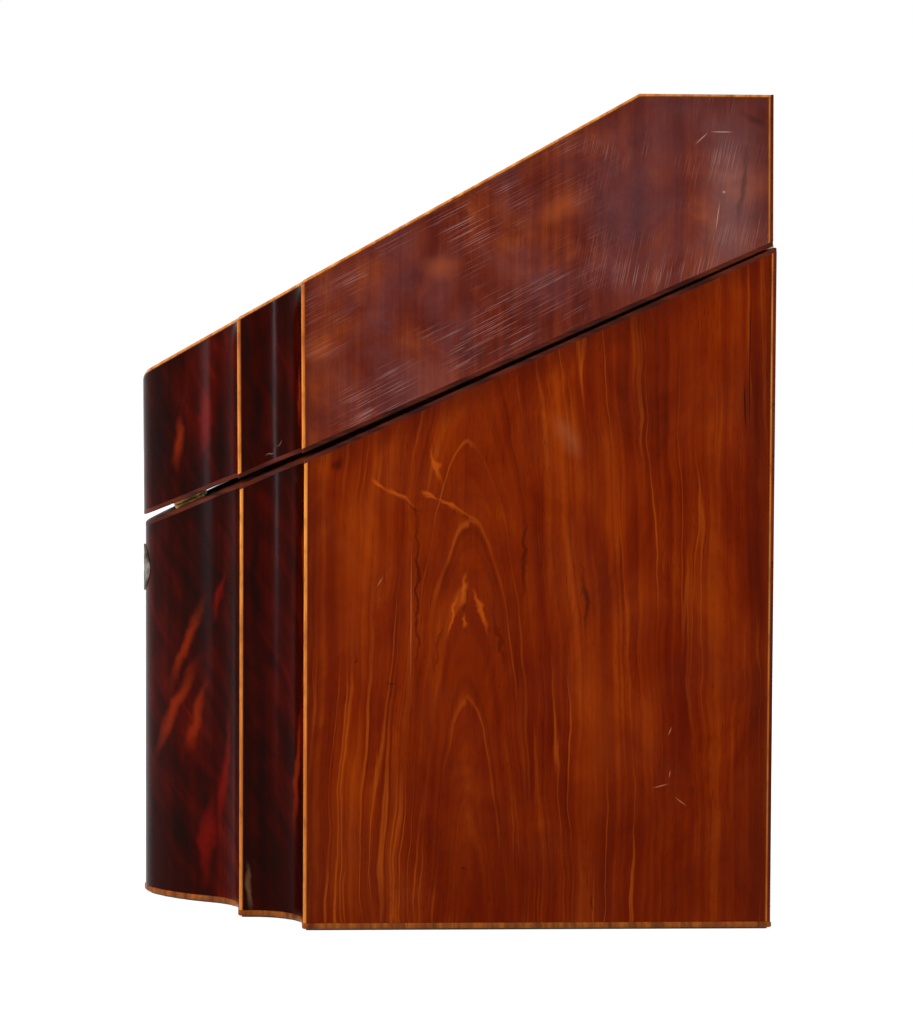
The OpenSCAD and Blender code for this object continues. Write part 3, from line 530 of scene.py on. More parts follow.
def lid_wall(line, t):
    """Grid of a lid wall: evenly spaced rows up to 6 mm under the roof, then close rows up to its string."""
    xy = line(0) + t * (line(1.0) - line(0))
    low = under_height(xy[:, 1], FACING)
    high = roof_height(xy[:, 1], WALL_DROPS[0])
    share = np.linspace(0, 1, LID_ROWS)[:-1, None]
    plain = lean(np.broadcast_to(xy, (LID_ROWS - 1, len(xy), 2)), low + share * (high - low))
    return np.concatenate([plain, np.array([lid_row(line, t, d) for d in WALL_DROPS])])


def ridge_side_line(t):
    """A side of the lid, with a point exactly at the ridge so that the edge bends there."""
    end = Y_BACK - BACK_VENEER - BACK_STRING
    before = straight((HALF_W - t, Y_CORNER + STRING), (HALF_W - t, RIDGE_PLAN), 14)
    return np.concatenate([before, straight(before[-1], (HALF_W - t, end), 7)[1:]])


lay_skins("lid_", lid_wall, ridge_side_line, "lid", "lid_veneer")
lid_strings = lay_strings("lid_string", lid_wall, "lid")
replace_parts(lid_strings[0], "lid_edge_strings")

# %% [markdown]
# The string round the top is one strip, one millimetre wide on the roof and a little more on the walls. It
# follows the worn edge, so it narrows where the wood is rubbed away. Inside it lie two roof leaves, one on
# the slope and one on the flat top, which meet at the ridge.
# %% Top string and roof leaves


def top_run(t):
    right = np.concatenate([half_bow(t), arris_line(t)[1:], wing_line(t)[1:], corner_line(t)[1:],
                            straight((HALF_W - t, Y_CORNER + STRING), (HALF_W - t, RIDGE_PLAN), 14)[1:],
                            straight((HALF_W - t, RIDGE_PLAN), (HALF_W - t, Y_BACK - BACK_VENEER), 7)[1:]])
    return np.concatenate([right[:0:-1] * (-1, 1), right])


# a border distance, in millimetres, that counts as no edge near
NO_EDGE = 60.0
string_profile = ([(0, TOP_STRING)] + edge_profile(1.0, 5)[:-1] + [(VENEER, 0), (VENEER, TOP_STRING)])
loops = np.array([lid_row(top_run, t, d) for t, d in string_profile])
string_u = np.broadcast_to(along(top_run(0)), loops.shape[:2])
string_v = np.broadcast_to(np.array([t - d for t, d in string_profile])[:, None], loops.shape[:2])
string_border = np.stack([string_v + TOP_STRING, VENEER - string_v, np.full(string_v.shape, NO_EDGE)], -1)
top_string = swept("lid_top_string", loops, "lid", "boxwood", closed=False,
                   cut=sheet_places(string_u, string_v).reshape(-1, 3), border=string_border)
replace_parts(top_string, "lid_top_strings")


def front_inset(t):
    """The whole front at inset t, from one side of the roof leaf to the other."""
    half = np.concatenate([half_bow(t), arris_line(t)[1:], wing_line(t)[1:], [[HALF_W - 1.0, Y_CORNER + t]]])
    return np.concatenate([half[:0:-1] * (-1, 1), half])


# insets of the close rows behind the worn front edge, in millimetres
SLOPE_INSETS = (1.0, 1.4, 1.9, 2.5, 3.2, 4.2)


def slope_grid(depth):
    """Rows from the front edge back to the ridge: close rows over the worn edge, then straight to the ridge."""
    near = []
    first, second = front_inset(0), front_inset(1.0)
    radius = wear_radius(first)
    for t in SLOPE_INSETS:
        t_worn, drop = worn(t, 0.0, radius) if depth == 0 else (np.full(len(first), t), np.full(len(first), depth))
        xy = first + t_worn[:, None] * (second - first)
        near.append(lean(xy, roof_height(xy[:, 1], drop)))
    spread = along(first) / along(first)[-1] * 2 - 1
    far_x = 0.8 * first[:, 0] / np.abs(first[:, 0]).max() + 0.2 * spread
    ridge = np.stack([far_x * (HALF_W - VENEER), np.full(len(first), RIDGE_PLAN)], 1)
    ridge_row = lean(ridge, roof_height(ridge[:, 1], depth))
    rows = [near[-1] + (ridge_row - near[-1]) * share for share in np.linspace(0, 1, 7)[1:]]
    return np.array(near + rows)


slope_outer, slope_inner = slope_grid(0.0), slope_grid(VENEER)
slope_places = sheet_places(slope_outer[..., 1] / cos(SLOPE_ANGLE), slope_outer[..., 0])
slope_border = np.stack([slope_outer[..., 0] + HALF_W - VENEER, HALF_W - VENEER - slope_outer[..., 0],
                         np.full(slope_outer.shape[:2], NO_EDGE)], -1)
pieces["slope"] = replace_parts(slab("slope_leaf", slope_outer, slope_inner, "lid", "lid_veneer", slope_places,
                                   slope_border), "slope_veneer")
xs, ys = np.linspace(-HALF_W + VENEER, HALF_W - VENEER, 20), np.linspace(RIDGE_PLAN, Y_BACK - BACK_VENEER, 6)
flat = np.stack(np.meshgrid(xs, ys), -1)
top_outer, top_inner = lean(flat, roof_height(flat[..., 1], 0.0)), lean(flat, roof_height(flat[..., 1], VENEER))
top_border = np.stack([top_outer[..., 0] + HALF_W, HALF_W - top_outer[..., 0],
                       np.full(flat.shape[:2], NO_EDGE)], -1)
pieces["top"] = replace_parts(slab("top_leaf", top_outer, top_inner, "lid", "lid_veneer",
                                 sheet_places(top_outer[..., 1], top_outer[..., 0]), top_border), "top_veneer")

# %% [markdown]
# The lid's rim has the same facing as the case's, turned over: its profile hangs from the lid's underside.
# %% The lid's rim facing
lid_rim = ring_piece("lid_rim_facing_ring", facing_profile(LID_RIM_ROUND, 5),
                     lambda xy, rise: lean(xy, under_height(xy[:, 1], rise)), "lid", "rim_mahogany",
                     BACK_WALL / WALL)
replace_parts(lid_rim, "lid_rim_facing")

# %% [markdown]
# ## Cutting for the lock, its plates and the hinges
# The lock and the hinges are let into the rims and the keyhole goes through the bow. Each recess is cut with
# a boolean, and the cutters are the same blocks that the joiner would chop out. The cutters are deleted when
# the cut is done.
# %% Cutters
HINGE_X, HINGE_HALF, LEAF_W, LEAF_T, KNUCKLE_CUT = 62.0, 19.0, 10.0, 1.4, 2.5
PIN_OUT, LOCK_FACE, LOCK_Y, CASE_HALF, CASE_DEPTH = 0.9, -Y_BACK + 28.0, -Y_BACK + 20.0, 18.8, 12.0
PLATE_HALF, PLATE_FRONT, PLATE_BACK, PLATE_IN = 24.0, -5.5, 8 / cos(RIM_ANGLE) + 0.3, 0.8
# how far a cutter stands past the rim, its play round a knuckle, and the points of a round one
ABOVE, KNUCKLE_PLAY, ROUND_COUNT = 4, 0.3, 32
PIN_Y = Y_BACK + PIN_OUT
PIN_Z = (rim_z(PIN_Y) + LID_Z + PIN_OUT * tan(LID_ANGLE)) / 2


def cutter(points, faces):
    """A closed block whose faces all point outwards."""
    mesh = bpy.data.meshes.new("cutter")
    mesh.from_pydata((np.asarray(points) * MM).tolist(), [], faces)
    work = bmesh.new()
    work.from_mesh(mesh)
    bmesh.ops.recalc_face_normals(work, faces=work.faces)
    work.to_mesh(mesh)
    work.free()
    return linked("cutter", mesh)


def drawn_cutter(rings):
    """A closed block between two rings that have the same number of points."""
    count = len(rings[0])
    sides = [(i, (i + 1) % count, (i + 1) % count + count, i + count) for i in range(count)]
    return cutter(np.concatenate(rings), sides + [tuple(range(count))[::-1], tuple(range(count, 2 * count))])


BOX_FACES = [(0, 2, 3, 1), (4, 5, 7, 6), (0, 1, 5, 4), (2, 6, 7, 3), (0, 4, 6, 2), (1, 3, 7, 5)]


def block_cutter(x, s, n, origin=(0, 0, 0), angle=0.0):
    """A block from three ranges, turned by angle about a line along X through its origin."""
    points = np.array([(a, b, c) for a in x for b in s for c in n], float)
    turn = np.array([[1, 0, 0], [0, cos(angle), -sin(angle)], [0, sin(angle), cos(angle)]])
    return cutter(points @ turn.T + np.array(origin), BOX_FACES)


def round_cutter(x, y, z, radius):
    """A cylinder along X."""
    a = np.arange(ROUND_COUNT) * 360 / ROUND_COUNT
    ring = np.stack([y + radius * cos(a), z + radius * sin(a)], 1)
    return drawn_cutter([np.column_stack([np.full(ROUND_COUNT, end), ring]) for end in x])


def cut_away(piece, cutters):
    """Subtracts the cutters from a piece, keeps the result as plain mesh and deletes the cutters."""
    for tool in cutters:
        bpy.context.view_layer.update()
        step = piece.modifiers.new("cut", "BOOLEAN")
        step.operation, step.object, step.solver = "DIFFERENCE", tool, "EXACT"
        result = bpy.data.meshes.new_from_object(piece.evaluated_get(bpy.context.evaluated_depsgraph_get()))
        piece.modifiers.clear()
        result.name = piece.data.name
        piece.data = result
        bpy.data.objects.remove(tool)
    print(piece.name, "after the cuts:", len(piece.data.polygons), "faces")


def hinge_cutters(z, angle, low, high):
    made = []
    for x in (-HINGE_X, HINGE_X):
        made.append(block_cutter((x - HINGE_HALF, x + HINGE_HALF), (-LEAF_W, LEAF_W), (low, high),
                                 (0, Y_BACK, z), angle))
        made.append(round_cutter((x - HINGE_HALF - KNUCKLE_PLAY, x + HINGE_HALF + KNUCKLE_PLAY), PIN_Y, PIN_Z,
                                 KNUCKLE_CUT))
    return made


link_gap = ((LID_Z - (Y_BACK - LOCK_Y) * tan(LID_ANGLE) - rim_z(LOCK_Y)) * cos(LID_ANGLE)
            / cos(RIM_ANGLE - LID_ANGLE))
link_at = (0, LOCK_Y - link_gap * sin(RIM_ANGLE), rim_z(LOCK_Y) + link_gap * cos(RIM_ANGLE))
cut_away(rim, hinge_cutters(RIM_BACK, RIM_ANGLE, -LEAF_T, ABOVE) + [
    block_cutter((-CASE_HALF, CASE_HALF), (LOCK_FACE - CASE_DEPTH, LOCK_FACE), (100, 420)),
    block_cutter((-PLATE_HALF, PLATE_HALF), (PLATE_FRONT, PLATE_BACK), (-PLATE_IN, ABOVE),
                 (0, LOCK_Y, rim_z(LOCK_Y)), RIM_ANGLE)])
cut_away(lid_rim, hinge_cutters(LID_Z, LID_ANGLE, -ABOVE, LEAF_T) + [
    block_cutter((-PLATE_HALF, PLATE_HALF), (PLATE_FRONT, PLATE_BACK), (-ABOVE, PLATE_IN), link_at, LID_ANGLE)])

# %% [markdown]
# The keyhole is a round hole with a slot below it for the key's bit. A boolean gives new points on the cut, so
# the bow's sheet places are worked out again from where each point is.
# %% Keyhole through the bow
KEYHOLE_Z, KEY_R, BIT_HALF, BIT_DROP = 153.0, 2.6, 1.1, 7.0
hole_angles = np.linspace(-50, 230, 25)
hole = np.concatenate([np.stack([KEY_R * cos(hole_angles), KEY_R * sin(hole_angles)], 1),
                       [[-BIT_HALF, -BIT_DROP], [BIT_HALF, -BIT_DROP]]])
cut_away(pieces["bow"], [drawn_cutter([np.column_stack([hole[:, 0], np.full(len(hole), y), hole[:, 1] + KEYHOLE_Z])
                                       for y in (-Y_BACK - 3, -Y_BACK + 6)])])


def lay_sheet(piece, line, top_of):
    """Gives a cut skin its places again: u from x along the line, v from the height, top from the rim above y."""
    at = np.empty(len(piece.data.vertices) * 3)
    piece.data.vertices.foreach_get("co", at)
    at = at.reshape(-1, 3) / MM
    u = np.interp(at[:, 0], line[:, 0], from_middle(line))
    for title, values in (("cut", sheet_places(u, at[:, 2])),
                          ("border", np.stack([u - u.min(), u.max() - u, top_of(at[:, 1]) - at[:, 2]], -1))):
        layer = piece.data.attributes.get(title) or piece.data.attributes.new(title, "FLOAT_VECTOR", "POINT")
        layer.data.foreach_set("vector", values.astype(np.float32).ravel())


lay_sheet(pieces["bow"], bow_line(0), lambda y: rim_z(y) - FACING)

# %% [markdown]
# ## Softened edges on what lies inside
# The lock plate, the hinges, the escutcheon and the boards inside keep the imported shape, but a real edge is
# never razor sharp. A copy of each is merged into one skin, its flat faces joined, and a narrow bevel added.
# %% Bevelled copies


# points closer than this are one point, in metres, and an edge sharper than this gets the bevel
WELD, SHARP = 2e-6, np.radians(30)


def softened(node, body, width):
    """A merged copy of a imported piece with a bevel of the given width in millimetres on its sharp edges."""
    mesh = nodes[node].data.copy()
    work = bmesh.new()
    work.from_mesh(mesh)
    bmesh.ops.remove_doubles(work, verts=work.verts, dist=WELD)
    bmesh.ops.dissolve_limit(work, angle_limit=np.radians(1), verts=work.verts, edges=work.edges)
    work.to_mesh(mesh)
    work.free()
    mesh.name = f"{node}_soft"
    mesh.materials.clear()
    mesh.shade_smooth()
    mesh.set_sharp_from_angle(angle=SHARP)
    piece = linked(f"{node}_soft", mesh)
    bevel = piece.modifiers.new("bevel", "BEVEL")
    bevel.width, bevel.segments, bevel.limit_method, bevel.angle_limit = width * MM, 2, "ANGLE", SHARP
    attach(piece, body)
    print(piece.name, len(mesh.polygons), "faces, bevel", width, "mm")
    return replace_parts(piece, node)


SOFT = {"lock_selvedge": ("carcase", "lock_brass", 0.2), "link_plate": ("lid", "lock_brass", 0.2),
        "lock_bolt": ("lock_bolt", "steel", 0.12), "hinge_lower_leaves": ("carcase", "hinge_brass", 0.12),
        "hinge_upper_leaves": ("lid", "hinge_brass", 0.12), "escutcheon": ("carcase", "escutcheon_metal", 0.2),
        "cutlery_board": ("carcase", "board_mahogany", 0.3), "partitions": ("carcase", "pine", 0.3)}
for title, (body, slot, width) in SOFT.items():
    pieces[title] = softened(title, body, width)

# %% [markdown]
# ## The cloth in the lid
# The inside of the lid is lined with thin baize, glued to the boards. It is a sheet pushed up into the lid: two
# flat fields for the slope and the top and a band round the walls, all one piece of cloth with a soft edge.
# %% Lid lining
# cloth, roof boards and hem in millimetres, seams in square metres, and the share of the cloth that is used
LINING, ROOF, HEM, SEAM_AREA, CLOTH_USED = 0.8, 9.0, 0.4, 0.0005, 0.85


def lining_shell(t, drop):
    """Rows of the lining from its lower hem up the wall and across the roof to one middle point."""
    edge, middle = outline(t, t + BACK_WALL - WALL), np.array([0.0, RIDGE_PLAN])
    hem, roof = under_height(edge[:, 1], HEM), roof_height(edge[:, 1], drop)
    rows = [lean(edge, hem * (1 - share) + roof * share) for share in (0, 0.25, 0.5, 0.75, 1)]
    for share in (0.12, 0.3, 0.5, 0.7, 0.88):
        xy = edge + (middle - edge) * share
        rows.append(lean(xy, roof_height(xy[:, 1], drop)))
    return np.array(rows), lean(middle, roof_height(middle[1], drop))


(outside, outer_peak), (inside, inner_peak) = lining_shell(WALL, ROOF), lining_shell(WALL + LINING, ROOF + LINING)
shell = np.concatenate([inside[::-1], outside])
rows, columns = shell.shape[:2]
ring, last_row = np.arange(columns), (rows - 1) * columns
after = np.roll(ring, -1)
fans = [(rows * columns, a, b) for a, b in zip(after, ring)]
fans += [(rows * columns + 1, a, b) for a, b in zip(ring + last_row, after + last_row)]
lining_points = np.concatenate([shell.reshape(-1, 3), [inner_peak, outer_peak]])
lining = new_piece("lid_cloth", lining_points, grid_faces(rows, columns, close_columns=True), "lid", "cloth_lining",
                   caps=fans, angle=50)
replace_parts(lining, "lid_lining")

# %% [markdown]
# ## Tools for the finishes
# A finish is a network of nodes. The helper below writes it like a formula: w.times(a, b) adds one node and
# gives back its output. Effects that several finishes share, such as pores, streaks and scratches, are node
# groups with named inputs, so each is drawn once and can be tried with other numbers.
# %% Wiring


class Wiring:
    """Adds nodes to a tree and joins them, so that a network reads like a formula."""

    def __init__(self, tree):
        self.tree = tree

    def put(self, socket, value):
        if isinstance(value, bpy.types.NodeSocket):
            self.tree.links.new(value, socket)
        else:
            socket.default_value = value

    def node(self, kind, inputs=None, **settings):
        made = self.tree.nodes.new("ShaderNode" + kind)
        for key, value in settings.items():
            setattr(made, key, value)
        for key, value in (inputs or {}).items():
            self.put(made.inputs[key], value)
        return made

    def math(self, operation, a, b=0.0):
        return self.node("Math", {0: a, 1: b}, operation=operation).outputs[0]

    def times(self, a, b):
        return self.math("MULTIPLY", a, b)

    def plus(self, a, b):
        return self.math("ADD", a, b)

    def minus(self, a, b):
        return self.math("SUBTRACT", a, b)

    def vector(self, operation, a, b=(0, 0, 0)):
        return self.node("VectorMath", {0: a, 1: b}, operation=operation).outputs[0]

    def split(self, place):
        return self.node("SeparateXYZ", {"Vector": place}).outputs

    def join(self, x, y=0.0, z=0.0):
        return self.node("CombineXYZ", {"X": x, "Y": y, "Z": z}).outputs[0]

    def turned(self, place, radians):
        return self.node("VectorRotate", {"Vector": place, "Angle": radians}, rotation_type="Z_AXIS").outputs[0]

    def step(self, value, low, high, to_low=0.0, to_high=1.0):
        """Smooth step: to_low below low, to_high above high."""
        return self.node("MapRange", {"Value": value, "From Min": low, "From Max": high, "To Min": to_low,
                                      "To Max": to_high}, interpolation_type="SMOOTHSTEP").outputs[0]

    def noise(self, place, scale, detail=3.0, rough=0.55, warp=0.0):
        return self.node("TexNoise", {"Vector": place, "Scale": scale, "Detail": detail, "Roughness": rough,
                                      "Distortion": warp}).outputs[0]

    def drawn(self, place, factors, detail=3.0, rough=0.55, warp=0.0, turn=0.0):
        """Noise on a place that is turned by an angle in degrees about its third axis, then stretched."""
        if turn:
            place = self.turned(place, np.radians(turn))
        return self.noise(self.vector("MULTIPLY", place, factors), 1.0, detail, rough, warp)

    def mix(self, share, a, b):
        made = self.node("Mix", data_type="RGBA")
        for index, value in ((0, share), (6, a), (7, b)):
            self.put(made.inputs[index], value)
        return made.outputs[2]

    def tint(self, shade, mask, share, rgb):
        """Lays a colour over a shade: fully where mask times share is one."""
        return self.mix(self.times(mask, share), shade, colour(*rgb))

    def ramp(self, value, stops):
        """Colour that runs through the stops (position, red, green, blue) in order."""
        made = self.node("ValToRGB", {"Fac": value})
        points = made.color_ramp.elements
        while len(points) < len(stops):
            points.new(0.5)
        for point, (position, *rgb) in zip(points, stops):
            point.position, point.color = position, colour(*rgb)
        return made.outputs[0]

    def most(self, values):
        top = values[0]
        for value in values[1:]:
            top = self.math("MAXIMUM", top, value)
        return top

    def use(self, group, **inputs):
        made = self.tree.nodes.new("ShaderNodeGroup")
        made.node_tree = group
        for key, value in inputs.items():
            self.put(made.inputs[key], value)
        return made.outputs


def new_group(name, inputs, outputs):
    """A node group with a Place, more inputs (None makes a vector) and float outputs.

    It gives the group, its wiring, its place, its inputs and a function that sets an output.
    """
    tree = bpy.data.node_groups.new(name, "ShaderNodeTree")
    for title, default in {"Place": None, **inputs}.items():
        kind = "NodeSocketVector" if default is None else "NodeSocketFloat"
        socket = tree.interface.new_socket(title, in_out="INPUT", socket_type=kind)
        if default is not None:
            socket.default_value = default
    for title in outputs:
        tree.interface.new_socket(title, in_out="OUTPUT", socket_type="NodeSocketFloat")
    w = Wiring(tree)
    given, leave = tree.nodes.new("NodeGroupInput").outputs, tree.nodes.new("NodeGroupOutput")
    return tree, w, given["Place"], given, lambda title, value: w.put(leave.inputs[title], value)


print("wiring ready")

# %% [markdown]
# ## Shared effects
# - Pores are the open vessels of mahogany: dark dashes a fraction of a millimetre wide, along the grain.
# - Streaks are long soft lines of darker and lighter wood.
# - Rings draw the tall arches of a flat-sawn leaf: the distance from the log's heart grows with height, so
#   lines of equal distance close into a peak.
# %% Groups for grain
PORES, w, place, given, give = new_group("pores", {"Amount": 0.5}, ["Mask"])
bent = w.vector("ADD", place, w.join(w.times(w.drawn(place, (60, 12, 1), 2.0), 0.0012)))
dashes = w.drawn(bent, (3200, 170, 1), 2.0, 0.6)
patches = w.drawn(place, (90, 20, 1), 2.0)
limit = w.minus(0.74, w.times(given["Amount"], w.plus(patches, -0.2)))
give("Mask", w.step(w.minus(dashes, limit), -0.02, 0.05))

STREAKS, w, place, given, give = new_group("streaks", {"Scale": 1.0}, ["Wide", "Fine"])
sized = w.vector("SCALE", place)
w.put(sized.node.inputs["Scale"], given["Scale"])
bent = w.vector("ADD", sized, w.join(w.times(w.drawn(sized, (16, 9, 1)), 0.006)))
give("Wide", w.drawn(bent, (190, 4.5, 1), 4.0, 0.6))
give("Fine", w.drawn(bent, (1100, 16, 1), 3.0, 0.65))

RINGS, w, place, given, give = new_group("rings", {"Heart": 0.0, "Slope": 0.12, "Foot": 0.02},
                                         ["Tone", "Lines", "Bright"])
sides = w.split(place)
sway = w.times(w.minus(w.drawn(place, (22, 13, 1)), 0.5), 0.012)
across = w.plus(w.minus(sides[0], given["Heart"]), sway)
depth = w.times(w.plus(sides[1], given["Foot"]), given["Slope"])
radius = w.math("SQRT", w.plus(w.times(across, across), w.times(depth, depth)))
sided = w.plus(radius, w.times(w.math("GREATER_THAN", across, 0.0), 0.3))


def ring_place(tight, tall, apart=None):
    """Place for a noise that runs along the rings: tight across them, tall along, apart from side to side."""
    return w.join(w.times(radius, tight), w.times(sides[1], tall), 0.0 if apart is None else w.times(sided, apart))


give("Tone", w.noise(ring_place(170.0, 1.5, 0.1), 1.0, 3.0, 0.6))
give("Lines", w.step(w.noise(ring_place(520.0, 4.0), 1.0, 2.0, 0.6), 0.52, 0.7))
crossing = w.math("ABSOLUTE", w.minus(w.noise(ring_place(130.0, 2.0, 0.4), 1.0, 2.0, 0.5), 0.5))
fading = w.step(w.drawn(place, (22, 9, 1)), 0.4, 0.62)
give("Bright", w.times(w.step(crossing, 0.002, 0.022, 1.0, 0.0), fading))
print("grain groups:", [group.name for group in bpy.data.node_groups])

# %% [markdown]
# Wear needs other patterns. Scratches are a few thin lines at one angle. A mark is one soft oval at a chosen
# place. Haze is polish gone dull in clouds, and wool is a fine fuzz with a slow change of tone under it.
# %% Groups for wear
SCRATCHES, w, place, given, give = new_group("scratches", {"Angle": 0.0, "Amount": 0.3}, ["Mask"])
lines = w.drawn(w.turned(place, given["Angle"]), (38, 2600, 1), 1.0, 0.4, 0.15)
limit = w.minus(0.80, w.times(given["Amount"], w.drawn(place, (35, 35, 1), 2.0)))
give("Mask", w.step(w.minus(lines, limit), 0.0, 0.05))

MARK, w, place, given, give = new_group("mark", {"Centre": None, "Angle": None, "Half": None, "Soft": 0.6}, ["Mask"])
local = w.node("Mapping", {"Vector": place, "Location": given["Centre"], "Rotation": given["Angle"],
                           "Scale": given["Half"]}, vector_type="TEXTURE").outputs[0]
reach = w.node("VectorMath", {0: local}, operation="LENGTH").outputs["Value"]
give("Mask", w.step(reach, w.minus(1.0, given["Soft"]), 1.0, 1.0, 0.0))

HAZE, w, place, given, give = new_group("haze", {}, ["Mask"])
cloud = w.drawn(place, (26, 20, 1), 4.0, 0.6, 0.4)
grainy = w.drawn(place, (420, 420, 1), 2.0, 0.6)
give("Mask", w.times(w.step(cloud, 0.38, 0.72), w.plus(0.55, w.times(grainy, 0.8))))

CLOTH, w, place, given, give = new_group("wool", {}, ["Tone", "Height"])
fuzz = w.drawn(place, (1600, 1600, 1600), 4.0, 0.7)
give("Tone", w.plus(w.times(fuzz, 0.6), w.times(w.drawn(place, (60, 60, 60)), 0.5)))
give("Height", fuzz)
print("wear groups:", [group.name for group in bpy.data.node_groups])

# %% [markdown]
# ## From effects to materials
# Each material starts from one principled shader. Colours are written as the eye reads them, in sRGB, and
# turned into the linear values that light works with.
# %% Material helpers


def colour(red, green, blue):
    """sRGB from 0 to 255 as linear light: (c + 0.055) / 1.055 to the power 2.4, or c / 12.92 near black."""
    c = np.array([red, green, blue]) / 255
    return (*(float(v) for v in np.where(c > 0.04045, ((c + 0.055) / 1.055) ** 2.4, c / 12.92)), 1.0)


def new_material(name, roughness=0.4, metallic=0.0, specular=0.5):
    material = bpy.data.materials.new(name)
    material.use_nodes = True
    shader = material.node_tree.nodes["Principled BSDF"]
    for key, value in (("Roughness", roughness), ("Metallic", metallic), ("Specular IOR Level", specular)):
        shader.inputs[key].default_value = value
    return material, shader, Wiring(material.node_tree)


def cut_place(w):
    """Place on the flat sheet that a skin was cut from, in metres."""
    return w.node("Attribute", attribute_name="cut").outputs["Vector"]


def edge_distances(w):
    return w.split(w.node("Attribute", attribute_name="border").outputs["Vector"])


def ordered(order):
    """Gives a function for object coordinates in metres, with the axes in another order: across the grain first."""
    def place_of(w):
        axes = w.split(w.node("TexCoord").outputs["Object"])
        return w.join(*(axes["XYZ".index(axis)] for axis in order))
    return place_of


def bump(w, shader, height, distance, strength=1.0):
    w.put(shader.inputs["Normal"], w.node("Bump", {"Height": height, "Distance": distance * MM,
                                                   "Strength": strength}).outputs[0])


def marks(w, place, items, soft=0.6):
    """The strongest of several soft ovals: (u, v, angle, half length, half width) in millimetres and degrees."""
    return w.most([w.use(MARK, Place=place, Centre=(u * MM, v * MM, 0), Angle=(0, 0, np.radians(angle)),
                         Half=(length * MM, width * MM, 1), Soft=soft)["Mask"]
                   for u, v, angle, length, width in items])


def wandering(w, place, scale, amount):
    """A place pushed about by smooth noise, so that a mark's outline is not a perfect oval."""
    offset = w.node("TexNoise", {"Vector": place, "Scale": scale, "Detail": 3.0}).outputs["Color"]
    pushed = w.vector("MULTIPLY", w.vector("SUBTRACT", offset, (0.5, 0.5, 0.5)), (amount * MM, amount * MM, 0))
    return w.vector("ADD", place, pushed)


def dark_edges(w, shade, cloud, spread, near, far, share, rgb):
    """Darkens a shade near its sheet's edges; the cloud moves the limit by up to spread millimetres."""
    gaps = edge_distances(w)
    gap = w.math("MINIMUM", gaps[0], w.math("MINIMUM", gaps[1], gaps[2]))
    return w.tint(shade, w.step(w.plus(gap, w.times(cloud, spread)), near, far, 1.0, 0.0), share, rgb)


def dress(material, *objects):
    for piece in objects:
        if not piece.material_slots:
            piece.data.materials.append(material)
        for slot in piece.material_slots:
            slot.material = material


print("helpers ready")

# %% [markdown]
# ## Mahogany of the sides
# The side leaves are warm red-brown with upright grain, a tall arch in the middle and darker edges where
# polish gathers. Small marks tell their age: a dark streak, a knot, short flames, a dent near the foot and a
# few pale scratches.
# %% Side mahogany
SIDE_FLAMES = [(-25, 192, -28, 11, 2.0), (-34, 197, -40, 5, 1.4), (-1, 187, -31, 11, 1.8), (-9, 206, 104, 11, 1.4),
               (-12, 192, -20, 6, 1.2), (3.6, 152, 78, 9, 1.5), (11, 142, 108, 12, 1.5), (-1.5, 140, 75, 12, 1.2),
               (4, 137, 90, 5, 1.1)]
SIDE_SHADOWS = [(-21, 189, -28, 10, 1.2), (3, 184, -31, 9, 1.0), (4.5, 147, 80, 7, 0.9), (19, 130, 104, 18, 1.2),
                (-8, 125, 83, 16, 1.1)]
SIDE_DARK = [(57, 147, 94, 22, 1.6), (-52, 206, 80, 5, 2.4), (61, 12, 90, 4.2, 0.8), (-28.8, 109.3, 2, 2.8, 0.5),
             (3.7, 26.9, 0, 1.6, 1.0), (-17, 150, 90, 50, 1.0), (-44, 120, 80, 2, 1.2), (30, 165, 88, 26, 1.5)]
SIDE_LIGHT = [(-45, 165, 90, 60, 12), (62, 90, 90, 70, 14)]
SIDE_RED = [(30, 120, 90, 90, 16), (-12, 70, 90, 60, 10), (104, 120, 90, 130, 22)]
SIDE_SCRATCHES = [(-33.4, 154.2, 60, 3, 0.35), (95, 88.4, 70, 2.6, 0.35), (95, 69.3, 80, 2.2, 0.35),
                  (91, 64, 15, 4.5, 0.4), (100, 57, -37, 4, 0.35), (-19.7, 141, 90, 39, 0.22)]
SIDE_CRACK = [(129, 252, 90, 40, 0.35), (127, 232, 92, 14, 0.6)]


